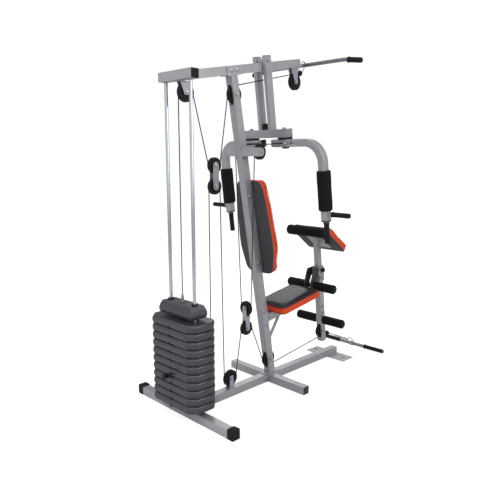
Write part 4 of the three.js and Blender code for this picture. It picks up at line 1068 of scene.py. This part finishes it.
def coons(outline, n):
    """A grid over a closed outline of 4n points, whose corners lie a quarter of the outline apart."""
    side = [[outline[(k * n + i) % (4 * n)] for i in range(n + 1)] for k in range(4)]
    south, east, north, west = side[0], side[1], side[2][::-1], side[3][::-1]
    grid = []
    for j in range(n + 1):
        v = j / n
        row = []
        for i in range(n + 1):
            u = i / n
            edge = south[i] * (1 - v) + north[i] * v + west[j] * (1 - u) + east[j] * u
            corner = south[0] * (1 - u) * (1 - v) + south[n] * u * (1 - v) + north[0] * (1 - u) * v + north[n] * u * v
            row.append(edge - corner)
        grid.append(row)
    return grid


def even_outline(corners, radius, count, start):
    """A rounded outline resampled to equal steps, starting nearest a given place."""
    loop = fillet(corners, radius, 10, closed=True)
    lengths = [0.0]
    for a, b in zip(loop, loop[1:] + loop[:1]):
        lengths.append(lengths[-1] + (b - a).length)
    total = lengths[-1]
    nearest = min(range(len(loop)), key=lambda i: (loop[i] - Vector(start)).length)
    offset = lengths[nearest]
    out, at = [], 0
    for k in range(count):
        target = (offset + total * k / count) % total
        at = next(i for i in range(len(loop)) if lengths[i] <= target <= lengths[i + 1] + 1e-9)
        t = (target - lengths[at]) / max(lengths[at + 1] - lengths[at], 1e-9)
        out.append(loop[at].lerp(loop[(at + 1) % len(loop)], t))
    return out


def cushion(name, node, corners, radius, start, low, high, matrix, body, n=26, rise=0.006, cap=0.010):
    """An upholstered pad: a face panel and a side band sewn together over foam, inflated as cloth with its base held
    to the board. The frame's Z is the way that the face looks."""
    outline = even_outline(corners, radius, 4 * n, start)
    centre = sum(outline, Vector((0, 0))) / len(outline)
    bm = bmesh.new()
    levels = 7
    rings = []
    for k in range(levels):
        t = k / (levels - 1)
        bulge = 1 + 0.006 * math.sin(math.pi * t) - 0.012 * t * t
        z = low + (high - low) * t
        rings.append([bm.verts.new(((centre + (p - centre) * bulge).x, (centre + (p - centre) * bulge).y, z))
                      for p in outline])
    for lower_ring, upper_ring in zip(rings, rings[1:]):
        for i in range(4 * n):
            j = (i + 1) % (4 * n)
            bm.faces.new((lower_ring[i], lower_ring[j], upper_ring[j], upper_ring[i]))
    for ring, height, sign in ((rings[-1], high, 1), (rings[0], low, -1)):
        flat = coons([Vector((v.co.x, v.co.y)) for v in ring], n)
        cells = [[None] * (n + 1) for _ in range(n + 1)]
        for k in range(4 * n):
            quarter, i = divmod(k, n)
            j, l = [(0, i), (i, n), (n, n - i), (n - i, 0)][quarter]
            cells[j][l] = ring[k]
        for j in range(1, n):
            for i in range(1, n):
                u, v = 2 * i / n - 1, 2 * j / n - 1
                crown = rise * (1 - u ** 4) * (1 - v ** 4) if sign > 0 else 0
                cells[j][i] = bm.verts.new((flat[j][i].x, flat[j][i].y, height + crown))
        for j in range(n):
            for i in range(n):
                face = bm.faces.new((cells[j][i], cells[j][i + 1], cells[j + 1][i + 1], cells[j + 1][i]))
                face.material_index = 1 if sign > 0 else 0
    bm.verts.index_update()
    rim = [v.index for v in rings[-1]]
    base = [v.index for v in bm.verts if v.co.z < low + 1e-6]
    bmesh.ops.recalc_face_normals(bm, faces=bm.faces)
    mesh = bpy.data.meshes.new(name)
    bm.to_mesh(mesh)
    bm.free()
    piece = bpy.data.objects.new(name, mesh)
    bpy.context.scene.collection.objects.link(piece)
    before = [v.co.copy() for v in mesh.vertices]
    inflate(piece, base)
    for vertex, rest in zip(mesh.vertices, before):
        moved = vertex.co - rest
        if moved.length > cap:
            vertex.co = rest + moved * (cap / moved.length)
    for index in rim:
        vertex = mesh.vertices[index]
        vertex.co = before[index].lerp(vertex.co, 0.25)
    seam = [mesh.vertices[i].co.copy() for i in rim]
    mesh.transform(matrix)
    mesh.materials.append(LOOKS[ORANGE])
    mesh.materials.append(LOOKS[VINYL])
    mesh.polygons.foreach_set("use_smooth", [True] * len(mesh.polygons))
    smooth = piece.modifiers.new("smooth", "SUBSURF")
    smooth.levels = smooth.render_levels = 1
    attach(piece, body)
    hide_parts(node)
    sweep(name + "_welt", seam, circle(0.0018, 8), "piping", body, matrix, up=(0, 0, 1), closed=True)
    stitch_line(name + "_stitches", seam, matrix, body)


def inflate(piece, base):
    """Blows the pad up a little with its base pinned, and keeps the result."""
    group = piece.vertex_groups.new(name="pinned")
    group.add(base, 1.0, "REPLACE")
    cloth = piece.modifiers.new("air", "CLOTH")
    settings = cloth.settings
    settings.vertex_group_mass = "pinned"
    settings.use_pressure = True
    settings.uniform_pressure_force = 4.0
    settings.effector_weights.gravity = 0
    settings.quality = 5
    settings.tension_stiffness = 30
    settings.compression_stiffness = 30
    settings.shear_stiffness = 12
    settings.bending_stiffness = 1.5
    cloth.collision_settings.use_collision = False
    scene = bpy.context.scene
    for number in range(1, 21):
        scene.frame_set(number)
    evaluated = piece.evaluated_get(bpy.context.evaluated_depsgraph_get())
    swollen = [v.co.copy() for v in evaluated.data.vertices]
    piece.modifiers.remove(cloth)
    piece.vertex_groups.clear()
    for vertex, place in zip(piece.data.vertices, swollen):
        vertex.co = place
    scene.frame_set(1)


def stitch_line(name, seam, matrix, body, inset=0.0085, step=0.0085):
    """A row of short stitches on the face panel, just inside the welt."""
    centre = sum(seam, Vector()) / len(seam)
    loop = []
    for p in seam:
        away = Vector((p.x - centre.x, p.y - centre.y, 0)).normalized()
        loop.append(p - away * inset + Vector((0, 0, 0.0030)))
    path = subdivided(loop + loop[:1], step)
    bm = bmesh.new()
    for a, b in zip(path[::2], path[1::2]):
        run = b - a
        mid = (a + b) / 2 + Vector((0, 0, 0.0006))
        add_sweep(bm, [a + run * 0.1, mid, b - run * 0.1], circle(0.0006, 6), (0, 0, 1))
    finish_piece(name, bm, "thread", body, matrix, slot=ORANGE)


def board(name, corners, radius, low, high, matrix, body):
    """The backing board under a pad."""
    prism(name, fillet(corners, radius, 8, closed=True), low, high, "board", body, matrix, 0.002)


seat_corners = [(-0.132, 0.040), (0.132, 0.040), (0.132, 0.428), (-0.132, 0.428)]
cushion("seat_cushion", "seat_pad", seat_corners, 0.040, (-0.132, 0.040), 0.0265, 0.0680, SEAT, "frame")
board("seat_board", [(x * 0.985, 0.234 + (y - 0.234) * 0.99) for x, y in seat_corners], 0.034, 0.0256, 0.0275, SEAT,
      "frame")

back_half = [(0.090, 0.006), (0.116, 0.030), (0.1445, 0.165), (0.1445, 0.235), (0.126, 0.470), (0.110, 0.575),
             (0.088, 0.602)]
back_corners = back_half + [(-x, z) for x, z in reversed(back_half)]
BACK = at(0, 0.0255, 0.752, LEANING) @ Matrix(((-1, 0, 0, 0), (0, 0, 1, 0), (0, 1, 0, 0), (0, 0, 0, 1)))
cushion("backrest_cushion", "backrest_pad", back_corners, 0.030, (0.1, 0.01), 0.0016, 0.0430, BACK, "frame")
board("backrest_board", [(x * 0.985, 0.304 + (z - 0.304) * 0.99) for x, z in back_corners], 0.026, 0.0004,
      0.0028, BACK, "frame")

curl_corners = [(-0.163, -0.265), (0.163, -0.265), (0.163, -0.010), (-0.163, -0.010)]
CURL_FACE = CURL @ Matrix.Rotation(math.pi, 4, "Z")
cushion("curl_cushion", "curl_pad", curl_corners, 0.028, (-0.163, -0.265), -0.0452, -0.0030, CURL_FACE, "curl_rest")
board("curl_board", [(x * 0.99, -0.1375 + (y + 0.1375) * 0.985) for x, y in curl_corners], 0.024, -0.0462, -0.0440,
      CURL_FACE, "curl_rest")


# ---- floor, light and camera ----

AMBIENT = (0.22, 0.84)    # the light from all round, from its weakest direction to its strongest
STRONGEST = (0.70, -0.70, 0.0)
BACKDROP = 1.02
FLOOR_GLOW = 0.68
FLOOR_HALF = 30
LIGHTS = (    # name, place, size, power
    ("key", (3.9, 0.6, 2.9), 3.0, 55),
    ("rim", (-0.9, -4.0, 2.7), 2.6, 70),
    ("back", (-2.6, 3.4, 3.2), 3.0, 38),
)
LIT_POINT = Vector((0, -0.05, 1.0))


def studio():
    """Soft light all round, stronger from one side, three large lamps, and a pale floor."""
    view = bpy.context.scene.view_settings
    view.view_transform = "Standard"
    view.look = "None"
    world = bpy.data.worlds.new("studio")
    bpy.context.scene.world = world
    world.use_nodes = True
    tree = world.node_tree
    background = tree.nodes["Background"]
    background.inputs["Color"].default_value = (0.97, 0.98, 1.0, 1)
    direction = tree.nodes.new("ShaderNodeTexCoord").outputs["Generated"]
    facing = tree.nodes.new("ShaderNodeVectorMath")
    facing.operation = "DOT_PRODUCT"
    facing.inputs[1].default_value = STRONGEST
    tree.links.new(direction, facing.inputs[0])
    spread = tree.nodes.new("ShaderNodeMapRange")
    spread.inputs["From Min"].default_value = -1
    spread.inputs["To Min"].default_value, spread.inputs["To Max"].default_value = AMBIENT
    tree.links.new(facing.outputs["Value"], spread.inputs["Value"])
    tree.links.new(spread.outputs["Result"], background.inputs["Strength"])
    backdrop = tree.nodes.new("ShaderNodeBackground")
    backdrop.inputs["Color"].default_value = (1, 1, 1, 1)
    backdrop.inputs["Strength"].default_value = BACKDROP
    seen = tree.nodes.new("ShaderNodeLightPath")
    mix = tree.nodes.new("ShaderNodeMixShader")
    tree.links.new(seen.outputs["Is Camera Ray"], mix.inputs["Fac"])
    tree.links.new(background.outputs["Background"], mix.inputs[1])
    tree.links.new(backdrop.outputs["Background"], mix.inputs[2])
    tree.links.new(mix.outputs["Shader"], tree.nodes["World Output"].inputs["Surface"])
    sun = bpy.data.lights.new("overhead", "SUN")
    sun.energy = 0.55
    sun.angle = math.radians(70)
    lamp = bpy.data.objects.new("overhead", sun)
    lamp.rotation_euler = (math.radians(14), math.radians(10), 0)
    bpy.context.scene.collection.objects.link(lamp)
    mesh = bpy.data.meshes.new("floor")
    mesh.from_pydata([(FLOOR_HALF * x, FLOOR_HALF * y, 0) for x, y in SQUARE], [], [(0, 1, 2, 3)])
    floor = bpy.data.objects.new("floor", mesh)
    bpy.context.scene.collection.objects.link(floor)
    shader = Shader("floor_paper", 0.0, 0.85)
    shader.link(shader.ramp(shader.noise(0.4), [(0.3, (0.57, 0.57, 0.57)), (0.7, (0.59, 0.59, 0.59))]),
                shader.principled.inputs["Base Color"])
    shader.principled.inputs["Emission Color"].default_value = (1, 1, 1, 1)
    seen = shader.add("ShaderNodeLightPath").outputs["Is Camera Ray"]
    glow = shader.add("ShaderNodeMath", operation="MULTIPLY")
    glow.inputs[1].default_value = FLOOR_GLOW
    shader.link(seen, glow.inputs[0])
    shader.link(glow.outputs[0], shader.principled.inputs["Emission Strength"])
    mesh.materials.append(shader.material)
    for name, place, size, power in LIGHTS:
        light = bpy.data.lights.new(name, "AREA")
        light.size = size
        light.energy = power
        lamp = bpy.data.objects.new(name, light)
        lamp.location = place
        aim = LIT_POINT - Vector(place)
        lamp.rotation_euler = aim.to_track_quat("-Z", "Y").to_euler()
        lamp.visible_glossy = name != "rim"
        bpy.context.scene.collection.objects.link(lamp)


def camera():
    """The view from behind the user, on the +X side and at chest height."""
    data = bpy.data.cameras.new("camera")
    data.lens = 39.46
    data.sensor_width = 36
    data.clip_end = 100
    eye_piece = bpy.data.objects.new("camera", data)
    eye_piece.location = (2.3923, -2.5623, 1.4803)
    eye_piece.rotation_euler = (math.radians(80.37), 0, math.radians(45))
    bpy.context.scene.collection.objects.link(eye_piece)
    bpy.context.scene.camera = eye_piece


studio()
camera()
